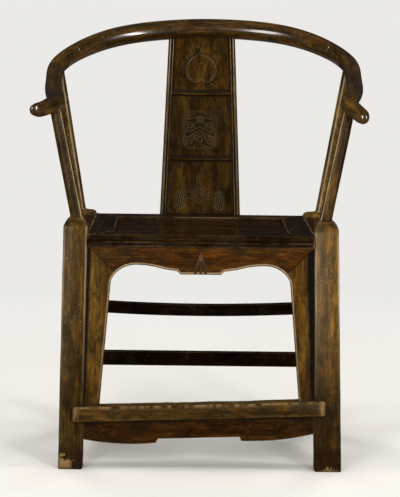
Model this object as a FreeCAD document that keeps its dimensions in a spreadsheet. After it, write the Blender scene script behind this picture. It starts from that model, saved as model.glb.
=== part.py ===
import FreeCAD, Part
import math
import os
import re
import Sketcher

# Horseshoe back armchair in oiled hardwood, joined with mortises and tenons.
# The front faces -Y, +Z is up, and the origin is on the floor under the middle of the chair.

doc = FreeCAD.newDocument("HorseshoeArmchair")
vec = FreeCAD.Vector

# Driving dimensions in millimetres
SIZES = {
    # joints
    "fit_gap": 0.2,
    "overrun": 2.0,
    "tenon_thick": 10.0,
    "tenon_long": 24.0,
    "tenon_cheek": 13.0,
    "tenon_edge": 6.0,
    "stub_long": 10.0,
    # legs, with the faces given at seat height
    "seat_height": 512.0,
    "leg_inner": 243.0,
    "leg_thick": 52.0,
    "leg_splay": 9.0,
    "leg_front": 230.0,
    "leg_round": 6.0,
    "shoulder_round": 12.0,
    "front_shoulder_rise": 33.0,
    "rear_shoulder_rise": 10.0,
    # posts that rise from the leg shoulders to the crest rail
    "post_foot": 25.0,
    "post_head": 22.0,
    "post_round": 4.0,
    "post_sink": 4.0,
    "post_pin": 4.5,
    "post_pin_foot": 24.0,
    "post_pin_head": 4.0,
    "front_post_in": 24.0,
    "rear_post_head_out": 6.5,
    "rear_post_in": 44.0,
    # seat frame and board
    "seat_thick": 25.0,
    "seat_member": 70.0,
    "seat_side": 53.0,
    "seat_setback": 2.0,
    "moulding_deep": 6.0,
    "mitre_tenon": 18.0,
    "mitre_tenon_wide": 20.0,
    "board_thick": 11.0,
    "board_recess": 6.0,
    "board_tongue": 7.0,
    "board_tongue_thick": 5.0,
    "batten_wide": 28.0,
    "batten_place": 85.0,
    "batten_tenon": 9.0,
    "side_rail_inset": 3.0,
    # aprons under the seat
    "apron_thick": 14.0,
    "apron_setback": 5.0,
    "apron_drop": 59.5,
    "apron_cusp": 182.0,
    "apron_centre": 43.0,
    "apron_neck": 52.0,
    "apron_neck_drop": 76.0,
    "apron_foot": 34.0,
    "apron_tongue": 5.0,
    "apron_tongue_thick": 6.0,
    "tongue_foot": 295.0,
    "plain_apron_high": 42.0,
    # footrest, which has sunk at its left end
    "footrest_top": 147.5,
    "footrest_high": 32.0,
    "footrest_reach": 276.0,
    "footrest_proud": 16.0,
    "footrest_deep": 30.0,
    "footrest_slope": 0.035,
    "foot_apron_high": 53.0,
    "foot_apron_end": 41.0,
    "foot_apron_step": 9.0,
    "foot_apron_step_place": 88.0,
    # stretchers
    "stretcher_thick": 21.0,
    "upper_stretcher_top": 308.5,
    "upper_stretcher_high": 27.0,
    "upper_stretcher_bow": 7.5,
    "lower_stretcher_top": 188.0,
    "lower_stretcher_high": 33.0,
    "side_upper_top": 345.0,
    "side_lower_top": 226.0,
    "side_stretcher_high": 27.0,
    # splat
    "splat_foot": 94.0,
    "splat_head": 77.0,
    "splat_bow": 12.0,
    "stile_wide": 14.0,
    "stile_thick": 19.0,
    "crossrail_thick": 17.0,
    "crossrail_high": 10.0,
    "panel_thick": 10.0,
    "panel_tongue": 3.0,
    "panel_tongue_thick": 4.0,
    "stile_tenon": 14.0,
    "stile_tenon_thick": 8.0,
    # crest rail, measured at its centre line
    "rail_half": 336.0,
    "rail_shift": 3.5,
    "rail_slope": 0.016,
    "grip_skew": 12.0,
    "rail_back": 277.0,
    "rail_long": 569.0,
    "rail_rise": 435.0,
    "rail_fall": 173.0,
    "rail_thick": 46.0,
    "scarf_long": 84.0,
    "wedge_wide": 12.0,
    "wedge_high": 10.0,
}

sheet = doc.addObject("Spreadsheet::Sheet", "Sizes")
for row, (name, number) in enumerate(SIZES.items(), start=1):
    sheet.set(f"A{row}", name)
    sheet.set(f"B{row}", str(number))
    sheet.setAlias(f"B{row}", name)
doc.recompute()


def bound(text):
    """Point each size name in an expression at its cell."""
    return re.sub(r"[a-z_]+", lambda m: "Sizes." + m.group() if m.group() in SIZES else m.group(), text)


def size(text):
    """Work out an expression of sizes as a number."""
    return float(sheet.evalExpression(bound(text)))


def leg_in(height):
    """Half distance between the inner faces of the legs at a height, from their splay."""
    return f"(leg_inner + leg_splay * (seat_height - ({height})) / seat_height)"


def on_leg(side, height, past="0"):
    """A point on the inner face of a leg at a height, or past it into the leg."""
    return f"{side} * ({leg_in(height)} + {past})", height


def sloped(height, side):
    """Height of a line that follows the footrest, where it meets the leg on one side."""
    return f"({height} + {side} * footrest_slope * {leg_in(height)})"


def toward(first, second, share):
    """A value between two others, at a share of the way."""
    return f"({first} + ({second} - ({first})) * {share})"


# Sketch and feature helpers

def plane_of(body, role):
    return next(item for item in body.Origin.OriginFeatures if item.Role == role)


def outline(body, name, role, offset, steps):
    """A closed sketch. Each step is a corner, or a pair of a point on an arc and the arc's end."""
    sketch = body.newObject("Sketcher::SketchObject", name)
    sketch.AttachmentSupport = [(plane_of(body, role), "")]
    sketch.MapMode = "FlatFace"
    sketch.setExpression(".AttachmentOffset.Base.z", bound(offset))
    corners = [step if isinstance(step[0], str) else step[1] for step in steps]
    middles = [None if isinstance(step[0], str) else step[0] for step in steps]
    spots = [vec(size(u), size(w), 0) for u, w in corners]
    shapes = []
    starts = []
    for index, middle in enumerate(middles):
        here, there = spots[index - 1], spots[index]
        if middle is None:
            shapes.append(Part.LineSegment(here, there))
            starts.append(1)
            continue
        arc = Part.Arc(here, vec(size(middle[0]), size(middle[1]), 0), there)
        shapes.append(arc)
        turn = (there - here).cross(vec(size(middle[0]), size(middle[1]), 0) - here).z
        starts.append(1 if turn < 0 else 2)
    sketch.addGeometry(shapes, False)
    ties = []
    rules = []
    count = len(shapes)
    for index in range(count):
        after = (index + 1) % count
        ties.append(Sketcher.Constraint("Coincident", index, 3 - starts[index], after, starts[after]))
        rules.append(None)
        for axis, text in zip(("DistanceX", "DistanceY"), corners[index]):
            ties.append(Sketcher.Constraint(axis, -1, 1, after, starts[after], size(text)))
            rules.append(text)
    for index, middle in enumerate(middles):
        if middle is None:
            continue
        spot = sketch.addGeometry(Part.Point(vec(size(middle[0]), size(middle[1]), 0)), True)
        for axis, text in zip(("DistanceX", "DistanceY"), middle):
            ties.append(Sketcher.Constraint(axis, -1, 1, spot, 1, size(text)))
            rules.append(text)
        ties.append(Sketcher.Constraint("PointOnObject", spot, 1, index))
        rules.append(None)
    sketch.addConstraint(ties)
    for index, text in enumerate(rules):
        if text is not None:
            sketch.setExpression(f"Constraints[{index}]", bound(text))
    return sketch


def rectangle(left, low, right, high):
    return [(left, low), (right, low), (right, high), (left, high)]


def new_body(name):
    body = doc.addObject("PartDesign::Body", name)
    body.Label = name
    return body


def pad(body, name, role, offset, steps, length):
    """Add a prism on an origin plane. It grows along the plane's normal: +Z, +X, or -Y for XZ."""
    feature = body.newObject("PartDesign::Pad", name)
    feature.Profile = outline(body, name + "_sketch", role, offset, steps)
    feature.setExpression("Length", bound(length))
    return feature


def pocket(body, name, role, offset, steps, length):
    """Cut a prism that grows the same way as a pad does."""
    feature = body.newObject("PartDesign::Pocket", name)
    feature.Profile = outline(body, name + "_sketch", role, offset, steps)
    feature.setExpression("Length", bound(length))
    feature.Reversed = True
    return feature


def front_pad(body, name, back, thick, steps):
    """Add a board seen from the front, from its back face at y towards the viewer."""
    return pad(body, name, "XZ_Plane", f"-({back})", steps, thick)


def joined(name, kind, base, tools):
    """A boolean of whole pieces: Part::Cut, Part::MultiFuse or Part::MultiCommon."""
    item = doc.addObject(kind, name)
    if kind == "Part::Cut":
        item.Base = base
        item.Tool = tools[0]
    else:
        item.Shapes = [base] + tools
    return item


nodes = []


def node(item, name):
    item.Label = name
    nodes.append(item)
    return item


SIDES = (("left", -1), ("right", 1))
ENDS = {-1: "front", 1: "rear"}

# Crest rail. The shares place its centre line from the middle of the back to one handgrip.
# Each row gives x, y and height shares, then the section's width, height and flatness of its top.
RAIL_SHARES = {
    "middle": (0.0, 0.0, 0.0, 1.0, 1.0, 0.0),
    "back": (0.32, 0.013, 0.027, 1.0, 1.0, 0.0),
    "shoulder": (0.61, 0.052, 0.110, 0.98, 0.98, 0.0),
    "rear_scarf": (0.80, 0.105, 0.230, 0.94, 0.94, 0.1),
    "corner": (0.93, 0.182, 0.365, 0.88, 0.88, 0.35),
    "rear_post": (0.995, 0.285, 0.495, 0.82, 0.83, 0.65),
    "arm": (1.0, 0.430, 0.630, 0.78, 0.80, 0.9),
    "elbow": (0.990, 0.580, 0.735, 0.77, 0.79, 1.0),
    "grip_scarf": (0.966, 0.720, 0.810, 0.77, 0.79, 1.0),
    "front_post": (0.932, 0.852, 0.870, 0.79, 0.78, 1.0),
    "wrist": (0.950, 0.925, 0.925, 0.81, 0.74, 0.7),
    "palm": (1.007, 0.975, 0.985, 0.72, 0.70, 0.2),
    "tip": (1.026, 1.0, 1.003, 0.46, 0.46, 0.0),
}
STATIONS = list(RAIL_SHARES)
SECTIONS_PER_STATION = 3
WEDGE_TAPER_SHARE = 0.1
# Shares of half the section: where its four arcs meet, when it is round and when its top is flat
ROUND_SHARE = math.sqrt(0.5)
FLAT_EDGE_SHARE = 0.80
FLAT_CROWN_SHARE = 0.86

RAIL_HEIGHT = "(seat_height + rail_rise)"


def rail_place(side, station):
    """Where the centre line passes one station.

    The rail sits lower on its left. The left handgrip turns out and up more than the right one.
    """
    across, along, down, *_ = RAIL_SHARES[station]
    grip = STATIONS[STATIONS.index("grip_scarf"):]
    grip_share = grip.index(station) / (len(grip) - 1) if station in grip else 0
    x = f"({side} * rail_half * {across} + rail_shift - grip_skew * {grip_share:.3f})"
    z = f"({RAIL_HEIGHT} - rail_fall * {down} + rail_slope * {1 - 2 * grip_share:.3f} * {x})"
    return x, f"(rail_back - rail_long * {along})", z


def rail_spots():
    """Centres of the sections from the left handgrip round the back to the right one."""
    left = [rail_place(-1, station) for station in reversed(STATIONS)]
    right = [rail_place(1, station) for station in STATIONS]
    return [vec(*map(size, place)) for place in left[:-1] + right]


def between(values, place):
    """The value at a place in a row of values, which may fall between two of them."""
    low = min(int(place), len(values) - 2)
    return values[low] + (values[low + 1] - values[low]) * (place - low)


def section_at(side, station):
    """The section at a station, counted from the left handgrip's tip."""
    return (len(STATIONS) - 1 + side * STATIONS.index(station)) * SECTIONS_PER_STATION


def rail_frames():
    """Centre, direction, sideways and upward axis of each section.

    The sections of a handgrip all face the way that its scarf does.
    """
    spots = rail_spots()
    curve = Part.BSplineCurve()
    curve.interpolate(spots)
    marks = [curve.parameter(spot) for spot in spots]
    frames = []
    for index in range((len(spots) - 1) * SECTIONS_PER_STATION + 1):
        facing = min(max(index, section_at(-1, "grip_scarf")), section_at(1, "grip_scarf"))
        along = curve.tangent(between(marks, facing / SECTIONS_PER_STATION))[0]
        aside = along.cross(vec(0, 0, 1)).normalize()
        centre = curve.value(between(marks, index / SECTIONS_PER_STATION))
        frames.append((centre, along, aside, aside.cross(along).normalize()))
    return frames


def rail_section(frame, wide, high, flat):
    """Four arcs that make a circle where flat is 0, and a flat topped section where it is 1."""
    centre, _, aside, up = frame
    edge = ROUND_SHARE + (FLAT_EDGE_SHARE - ROUND_SHARE) * flat
    crown = 1 + (FLAT_CROWN_SHARE - 1) * flat
    corner = ROUND_SHARE * crown + (FLAT_CROWN_SHARE - ROUND_SHARE * crown) * flat * ROUND_SHARE

    def at(side, rise):
        return centre + aside * (side * wide / 2) + up * (rise * high / 2)

    points = [
        at(edge, corner), at(0, crown), at(-edge, corner), at(-1, 0),
        at(-ROUND_SHARE, -ROUND_SHARE), at(0, -1), at(ROUND_SHARE, -ROUND_SHARE), at(1, 0),
    ]
    arcs = [Part.Arc(points[i], points[i + 1], points[(i + 2) % 8]).toShape() for i in (0, 2, 4, 6)]
    return Part.Wire(arcs)


FRAMES = rail_frames()
_, _, _, *FORM_SHARES = zip(*RAIL_SHARES.values())
sections = []
for index, frame in enumerate(FRAMES):
    station = abs(index - section_at(1, "middle")) / SECTIONS_PER_STATION
    wide, high, flat = (between(shares, station) for shares in FORM_SHARES)
    sections.append(rail_section(frame, wide * size("rail_thick"), high * size("rail_thick"), flat))
rail_solid = Part.makeLoft(sections, True, True)


def placed(shape, frame):
    """Move a shape from the local axes (aside, along, up) to a station of the rail."""
    centre, along, aside, up = frame
    shape.Placement = FreeCAD.Placement(FreeCAD.Matrix(
        aside.x, along.x, up.x, centre.x,
        aside.y, along.y, up.y, centre.y,
        aside.z, along.z, up.z, centre.z,
        0, 0, 0, 1))
    return shape


def scarf_block(frame, reach, side):
    """All that lies beyond a half lapped scarf: a prism whose near end has the lap's step."""
    lap = size("scarf_long") / 2
    rows = [(-lap, -reach), (-lap, 0), (lap, 0), (lap, reach), (reach * 2, reach), (reach * 2, -reach)]
    corners = [vec(-reach, side * s, n) for s, n in rows]
    face = Part.Face(Part.makePolygon(corners + corners[:1]))
    return placed(face.extrude(vec(reach * 2, 0, 0)), frame)


def wedge_key(frame, clearance):
    """Tapered key through the middle of a scarf, from its inner to its outer face."""
    reach = size("rail_thick")
    wide, high = size("wedge_wide") / 2 + clearance, size("wedge_high") / 2 + clearance
    ends = []
    for end in (-1, 1):
        taper = 1 + end * WEDGE_TAPER_SHARE
        rows = [(-wide, -high), (wide, -high), (wide, high), (-wide, high)]
        corners = [vec(end * reach, s * taper, n * taper) for s, n in rows]
        ends.append(Part.makePolygon(corners + corners[:1]))
    return placed(Part.makeLoft(ends, True, True), frame)


rail_pieces = {"back": rail_solid}
all_keys = []
for side_name, side in SIDES:
    rear, grip = (FRAMES[section_at(side, station)] for station in ("rear_scarf", "grip_scarf"))
    rear_block = scarf_block(rear, size("rail_long"), side)
    grip_block = scarf_block(grip, size("rail_half") / 2, side)
    holes = [wedge_key(frame, size("fit_gap")) for frame in (rear, grip)]
    all_keys += [wedge_key(frame, 0).common(rail_solid) for frame in (rear, grip)]
    arm_and_grip = rail_solid.common(rear_block)
    rail_pieces["back"] = rail_pieces["back"].cut([rear_block, holes[0]])
    rail_pieces["arm_" + side_name] = arm_and_grip.cut([grip_block] + holes)
    rail_pieces["grip_" + side_name] = arm_and_grip.common(grip_block).cut(holes[1])


def held(name, shape):
    item = doc.addObject("Part::Feature", name)
    item.Shape = shape
    return item


rail_form = {name: held("rail_form_" + name, shape) for name, shape in rail_pieces.items()}
node(held("crest_rail_wedges", Part.makeCompound(all_keys)), "crest_rail_wedges")


# Legs with their posts

def fillet(body, base, name, radius, chosen):
    """Round the edges of a feature that a test picks by the points of their ends."""
    doc.recompute()
    edges = [f"Edge{index}" for index, edge in enumerate(base.Shape.Edges, start=1)
             if chosen([v.Point for v in edge.Vertexes])]
    feature = body.newObject("PartDesign::Fillet", name)
    feature.Base = (base, edges)
    feature.setExpression("Radius", bound(radius))
    return feature


def post_head(side, front):
    """Where the axis of a post ends, inside the rail."""
    if front:
        return rail_place(side, "front_post")
    x, y, z = rail_place(side, "rear_post")
    return f"({x} + {side} * rear_post_head_out)", y, z


def make_leg(name, side, front):
    """One leg: splayed block, rounded shoulder, and post up to the rail."""
    facing = -1 if front else 1
    end = "front" if front else "rear"
    back = "-(leg_front - leg_thick)" if front else "leg_front"
    top = f"(seat_height + {end}_shoulder_rise)"
    inner_low, inner_high = f"{side} * {leg_in('0')}", f"{side} * {leg_in(top)}"
    corners = [
        (inner_low, "0"), (f"{inner_low} + {side} * leg_thick", "0"),
        (f"{inner_high} + {side} * leg_thick", top), (inner_high, top)]
    block = new_body(name + "_block")
    stock = front_pad(block, name + "_stock", back, "leg_thick", corners)
    tall = size("seat_height") / 2
    rounded = fillet(block, stock, name + "_edges", "leg_round", lambda p: abs(p[0].z - p[-1].z) > tall)
    ground = size("leg_round") / 2
    fillet(block, rounded, name + "_shoulder", f"min(shoulder_round, {end}_shoulder_rise)",
           lambda p: min(p[0].z, p[-1].z) > size(top) - ground)

    foot = (f"({side} * (leg_inner + {end}_post_in))", f"({facing} * (leg_front - leg_thick / 2))",
            f"({top} - post_sink)")
    head = post_head(side, front)

    def taper(axis):
        """Outline of the post seen along one axis: it narrows and leans from foot to head."""
        return [(f"{foot[axis]} - post_foot / 2", foot[2]), (f"{foot[axis]} + post_foot / 2", foot[2]),
                (f"{head[axis]} + post_head / 2", head[2]), (f"{head[axis]} - post_head / 2", head[2])]

    faced = new_body(name + "_post_faced")
    front_pad(faced, name + "_post_front", "rail_back", "2 * rail_back", taper(0))
    sided = new_body(name + "_post_sided")
    pad(sided, name + "_post_side", "YZ_Plane", "-rail_half - rail_thick", taper(1),
        "2 * (rail_half + rail_thick)")
    square = joined(name + "_post_square", "Part::MultiCommon", faced, [sided])
    doc.recompute()
    post = doc.addObject("Part::Fillet", name + "_post")
    post.Base = square
    rise = (size(head[-1]) - size(foot[-1])) / 2
    post.Edges = [(index, size("post_round"), size("post_round"))
                  for index, edge in enumerate(square.Shape.Edges, start=1)
                  if abs(edge.Vertexes[0].Point.z - edge.Vertexes[-1].Point.z) > rise]
    return block, post


legs = {}
posts = {}
for side_name, side in SIDES:
    for end_name, front in (("front", True), ("rear", False)):
        block, post = make_leg(f"{end_name}_leg_{side_name}", side, front)
        legs[end_name, side_name] = block
        posts[end_name, side_name] = post


def slot(body, name, low, high):
    """Pocket a box, given by its two corners, with the fit's gap all round."""
    (x0, y0, z0), (x1, y1, z1) = low, high
    corners = rectangle(f"{x0} - fit_gap", f"{y0} - fit_gap", f"{x1} + fit_gap", f"{y1} + fit_gap")
    pocket(body, name, "XY_Plane", f"{z0} - fit_gap", corners, f"{z1} - ({z0}) + 2 * fit_gap")


def tenon(body, name, low, high, receivers):
    """Add a box shaped tenon to one piece, and its mortise to the pieces that receive it."""
    (x0, y0, z0), (x1, y1, z1) = low, high
    pad(body, name, "XY_Plane", z0, rectangle(x0, y0, x1, y1), f"{z1} - ({z0})")
    for receiver in receivers:
        slot(receiver, name + "_mortise", low, high)


def span(first, second, side):
    """Two x values in rising order, mirrored for the left side."""
    return (f"({first})", f"({second})") if side > 0 else (f"(-({second}))", f"(-({first}))")


# Seat frame: mitred long and short members, and a board in their grooves
SEAT_LOW = "(seat_height - seat_thick)"
FRAME_FRONT = "(leg_front - seat_setback)"
MOULDING_SHARES = [(0.0, 0.0), (0.0, 0.36), (0.30, 0.42), (-0.20, 0.64), (0.50, 0.86), (1.0, 1.0)]


def long_member(name, facing):
    """Front or rear member: its profile runs along x, and its ends are mitred."""
    body = new_body(name)
    edge = f"({facing} * {FRAME_FRONT})"
    back = f"({facing} * ({FRAME_FRONT} - seat_member))"

    def at(share):
        return (f"{edge} - {facing} * moulding_deep * {share[0]}", f"{SEAT_LOW} + seat_thick * {share[1]}")

    low, lip, cove, hollow, bead, top = [at(share) for share in MOULDING_SHARES]
    profile = [(back, "seat_height"), (back, SEAT_LOW), low, lip, cove, (hollow, bead), top]
    pad(body, name + "_bar", "YZ_Plane", "-leg_inner", profile, "2 * leg_inner")
    for side_name, side in SIDES:
        corners = [
            (f"{side} * leg_inner", f"{facing} * leg_front"),
            (f"{side} * (leg_inner - seat_side)", back),
            (f"{side} * (leg_inner - seat_side)", f"{back} - {facing} * overrun"),
            (f"{side} * (leg_inner + overrun)", f"{back} - {facing} * overrun"),
            (f"{side} * (leg_inner + overrun)", f"{facing} * leg_front")]
        pocket(body, f"{name}_mitre_{side_name}", "XY_Plane", f"{SEAT_LOW} - overrun", corners,
               "seat_thick + 2 * overrun")
    return body


front_rail = long_member("seat_front_rail", -1)
rear_rail = long_member("seat_rear_rail", 1)
long_members = {-1: front_rail, 1: rear_rail}
legs_at = {(-1, "left"): legs["front", "left"], (-1, "right"): legs["front", "right"],
           (1, "left"): legs["rear", "left"], (1, "right"): legs["rear", "right"]}
seat_tenon_low = f"({SEAT_LOW} + (seat_thick - tenon_thick) / 2)"
seat_tenon_high = f"({SEAT_LOW} + (seat_thick + tenon_thick) / 2)"
board_groove_low = "(seat_height - board_recess - (board_thick + board_tongue_thick) / 2)"
board_groove_high = "(seat_height - board_recess - (board_thick - board_tongue_thick) / 2)"
board_x = "(leg_inner - seat_side)"
board_y = f"({FRAME_FRONT} - seat_member)"


def ordered(facing, near, far):
    """Two y values in rising order, for the front or the rear."""
    return (f"({near})", f"({far})") if facing > 0 else (f"(-({far}))", f"(-({near}))")


for facing, member in long_members.items():
    g0, g1 = ordered(facing, f"{board_y} - overrun", f"{board_y} + board_tongue")
    slot(member, member.Label + "_groove", (f"(-{board_x} - board_tongue)", g0, board_groove_low),
         (f"({board_x} + board_tongue)", g1, board_groove_high))

side_members = {}
for side_name, side in SIDES:
    name = f"seat_side_member_{side_name}"
    body = new_body(name)
    side_members[side_name] = body
    corners = [
        (f"{side} * leg_inner", "-leg_front"), (f"{side} * leg_inner", "leg_front"),
        (f"{side} * {board_x}", board_y), (f"{side} * {board_x}", f"-{board_y}")]
    pad(body, name + "_bar", "XY_Plane", SEAT_LOW, corners, "seat_thick")
    x0, x1 = span(f"{board_x} - overrun", f"{board_x} + board_tongue", side)
    slot(body, name + "_groove", (x0, f"(-{board_y} - board_tongue)", board_groove_low),
         (x1, f"({board_y} + board_tongue)", board_groove_high))
    for facing, member in long_members.items():
        x0, x1 = span(f"{board_x} + board_tongue + tenon_edge",
                      f"{board_x} + board_tongue + tenon_edge + mitre_tenon_wide", side)
        y0, y1 = ordered(facing, f"{board_y} - overrun", f"{board_y} + seat_member / 2 + mitre_tenon")
        tenon(body, f"{name}_tenon_{ENDS[facing]}",
              (x0, y0, f"({SEAT_LOW} + tenon_edge)"),
              (x1, y1, f"({SEAT_LOW} + tenon_edge + board_tongue_thick)"), [member])
        x0, x1 = span("leg_inner - tenon_edge", "leg_inner + tenon_long", side)
        y0, y1 = ordered(facing, "leg_front - leg_thick + tenon_cheek", "leg_front - tenon_cheek")
        tenon(body, f"{name}_leg_tenon_{ENDS[facing]}", (x0, y0, seat_tenon_low),
              (x1, y1, seat_tenon_high), [legs_at[facing, side_name]])

board = new_body("seat_panel")
pad(board, "seat_panel_field", "XY_Plane", "seat_height - board_recess - board_thick",
    rectangle(f"-{board_x} + fit_gap", f"-{board_y} + fit_gap",
              f"{board_x} - fit_gap", f"{board_y} - fit_gap"),
    "board_thick")
pad(board, "seat_panel_tongue", "XY_Plane", board_groove_low,
    rectangle(f"-{board_x} - board_tongue", f"-{board_y} - board_tongue",
              f"{board_x} + board_tongue", f"{board_y} + board_tongue"),
    "board_tongue_thick")

battens = []
for side_name, side in SIDES:
    body = new_body(f"seat_batten_{side_name}")
    battens.append(body)
    x0, x1 = span("batten_place - batten_wide / 2", "batten_place + batten_wide / 2", side)
    pad(body, body.Label + "_bar", "XY_Plane", SEAT_LOW, rectangle(x0, f"-{board_y}", x1, board_y),
        "seat_thick - board_recess - board_thick")
    for facing, member in long_members.items():
        y0, y1 = ordered(facing, f"{board_y} - overrun", f"{board_y} + batten_tenon")
        tenon(body, f"{body.Label}_tenon_{ENDS[facing]}",
              (f"({x0} + tenon_edge)", y0, SEAT_LOW + " + fit_gap"),
              (f"({x1} - tenon_edge)", y1, f"({SEAT_LOW} + tenon_edge)"), [member])

# Outer side rails between the front and rear legs
leg_gap_y = "(leg_front - leg_thick)"
side_rails = []
for side_name, side in SIDES:
    body = new_body(f"seat_side_rail_{side_name}")
    side_rails.append(body)
    x0, x1 = span("leg_inner", "leg_inner + leg_thick - side_rail_inset", side)
    pad(body, body.Label + "_bar", "XY_Plane", SEAT_LOW,
        rectangle(x0, f"-{leg_gap_y}", x1, leg_gap_y), "seat_thick")
    for facing in (-1, 1):
        y0, y1 = ordered(facing, f"{leg_gap_y} - overrun", f"{leg_gap_y} + stub_long")
        t0, t1 = span("leg_inner + tenon_cheek", "leg_inner + leg_thick - tenon_cheek", side)
        tenon(body, f"{body.Label}_tenon_{ENDS[facing]}", (t0, y0, seat_tenon_low),
              (t1, y1, seat_tenon_high), [legs_at[facing, side_name]])

# Aprons under the front of the seat: an ogee board and two hanging sides, mitred together
APRON_SHARES = [(1.0, 0.975), (0.89, 0.745), (0.75, 0.665), (0.60, 0.70), (0.43, 0.815), (0.275, 0.885)]
NECK_SHARES = (0.34, 0.45)
apron_back = "(-(leg_front - apron_setback - apron_thick))"
tongue_back = "(-(leg_front - apron_setback - (apron_thick + apron_tongue_thick) / 2))"


def apron_spot(side, share):
    return (f"{side} * apron_cusp * {share[0]}", f"{SEAT_LOW} - apron_drop * {share[1]}")


front_apron = new_body("front_apron")
cusp, rise, crest, slide, dip, tip = APRON_SHARES
steps = [on_leg(-1, SEAT_LOW), apron_spot(-1, cusp), (apron_spot(-1, rise), apron_spot(-1, crest)),
         (apron_spot(-1, slide), apron_spot(-1, dip)), apron_spot(-1, tip),
         ("-apron_centre", f"{SEAT_LOW} - apron_drop"), ("apron_centre", f"{SEAT_LOW} - apron_drop"),
         apron_spot(1, tip), apron_spot(1, dip), (apron_spot(1, slide), apron_spot(1, crest)),
         (apron_spot(1, rise), apron_spot(1, cusp)), on_leg(1, SEAT_LOW)]
front_pad(front_apron, "front_apron_board", apron_back, "apron_thick", steps)
tongue_y = (f"({tongue_back} - apron_tongue_thick)", tongue_back)
tenon(front_apron, "front_apron_tongue", (f"(-{board_x})", tongue_y[0], f"({SEAT_LOW} - overrun)"),
      (board_x, tongue_y[1], f"({SEAT_LOW} + apron_tongue)"), [front_rail])

side_aprons = []
for side_name, side in SIDES:
    name = f"front_apron_side_{side_name}"
    body = new_body(name)
    side_aprons.append(body)
    foot = sloped("footrest_top", side)
    neck = f"({SEAT_LOW} - apron_neck_drop)"
    neck_x = f"{side} * ({leg_in(neck)} - apron_neck)"
    steps = [
        on_leg(side, SEAT_LOW), apron_spot(side, cusp),
        ((toward(neck_x, f"{side} * apron_cusp", NECK_SHARES[0]),
          toward(neck, apron_spot(side, cusp)[1], NECK_SHARES[1])), (neck_x, neck)),
        (f"{side} * ({leg_in('footrest_top')} - apron_foot)",
         f"({foot} - footrest_slope * {side} * apron_foot)"),
        on_leg(side, foot)]
    front_pad(body, name + "_board", apron_back, "apron_thick", steps)
    tongue = [on_leg(side, neck, "-overrun"), on_leg(side, neck, "apron_tongue"),
              on_leg(side, "tongue_foot", "apron_tongue"), on_leg(side, "tongue_foot", "-overrun")]
    front_pad(body, name + "_tongue", tongue_back, "apron_tongue_thick", tongue)
    low, high = "(tongue_foot - fit_gap)", f"({neck} + fit_gap)"
    groove = [on_leg(side, high, "-overrun"), on_leg(side, high, "apron_tongue + fit_gap"),
              on_leg(side, low, "apron_tongue + fit_gap"), on_leg(side, low, "-overrun")]
    pocket(legs["front", side_name], name + "_groove", "XZ_Plane", f"-({tongue_back} + fit_gap)", groove,
           "apron_tongue_thick + 2 * fit_gap")

# Plain aprons under the sides and the rear
plain_aprons = []
plain_low = f"({SEAT_LOW} - plain_apron_high)"
for side_name, side in SIDES:
    body = new_body(f"side_apron_{side_name}")
    plain_aprons.append(body)
    x0, x1 = span("leg_inner + leg_thick / 2", "leg_inner + leg_thick / 2 + apron_thick", side)
    pad(body, body.Label + "_board", "XY_Plane", plain_low, rectangle(x0, f"-{leg_gap_y}", x1, leg_gap_y),
        "plain_apron_high")
rear_apron = new_body("rear_apron")
corners = [on_leg(-1, SEAT_LOW), on_leg(-1, plain_low), on_leg(1, plain_low), on_leg(1, SEAT_LOW)]
front_pad(rear_apron, "rear_apron_board", "leg_front - apron_setback", "apron_thick", corners)

# Footrest: it laps over the front of the legs, and is tenoned between them
footrest = new_body("footrest")
foot_low = "(footrest_top - footrest_high)"


def sloped_board(low, reach):
    """Four corners between the two sides, along the slope of the footrest."""
    rows = []
    for side, height in ((-1, low), (1, low), (1, "footrest_top"), (-1, "footrest_top")):
        across = reach if reach else leg_in(sloped(height, side))
        rows.append((f"{side} * {across}", f"({height} + {side} * footrest_slope * {across})"))
    return rows


front_pad(footrest, "footrest_lap", "-leg_front", "footrest_proud",
          sloped_board(foot_low, "footrest_reach"))
front_pad(footrest, "footrest_bar", "-leg_front + footrest_deep", "footrest_deep",
          sloped_board(foot_low, ""))
for side_name, side in SIDES:
    x0, x1 = span(f"{leg_in('footrest_top')} - tenon_edge", f"{leg_in('footrest_top')} + tenon_long", side)
    middle = f"(footrest_top - footrest_high / 2 + {side} * footrest_slope * leg_inner)"
    tenon(footrest, f"footrest_tenon_{side_name}",
          (x0, "(-leg_front + tenon_thick)", f"({middle} - tenon_thick)"),
          (x1, "(-leg_front + 2 * tenon_thick)", f"({middle} + tenon_thick)"), [legs["front", side_name]])

# Stepped apron under the footrest
BULGE_SHARES = (0.32, 0.75)
foot_apron = new_body("footrest_apron")


def under(side, across, drop):
    """A point below the footrest, on lines that follow its slope."""
    return (f"{side} * ({across})", f"({foot_low} - ({drop}) + {side} * footrest_slope * ({across}))")


rows = []
for side in (-1, 1):
    end = leg_in(sloped(f"({foot_low} - foot_apron_end)", side))
    top = leg_in(sloped(foot_low, side))
    bulge = toward(end, "foot_apron_step_place", BULGE_SHARES[0])
    half = [under(side, top, "0"), under(side, end, "foot_apron_end"),
            (under(side, bulge, toward("foot_apron_end", "foot_apron_high", BULGE_SHARES[1])),
             under(side, "foot_apron_step_place + foot_apron_step / 2", "foot_apron_high")),
            under(side, "foot_apron_step_place", "foot_apron_high - foot_apron_step")]
    rows.append(half)
left_half, right_half = rows
steps = left_half + [right_half[3], right_half[2][1], (right_half[2][0], right_half[1]), right_half[0]]
front_pad(foot_apron, "footrest_apron_board", "-leg_front + apron_setback + apron_thick",
          "apron_thick", steps)

# Stretchers at the rear and the sides
rear_axis = "(leg_front - leg_thick / 2)"
stretcher_back = f"({rear_axis} + stretcher_thick / 2)"


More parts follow.
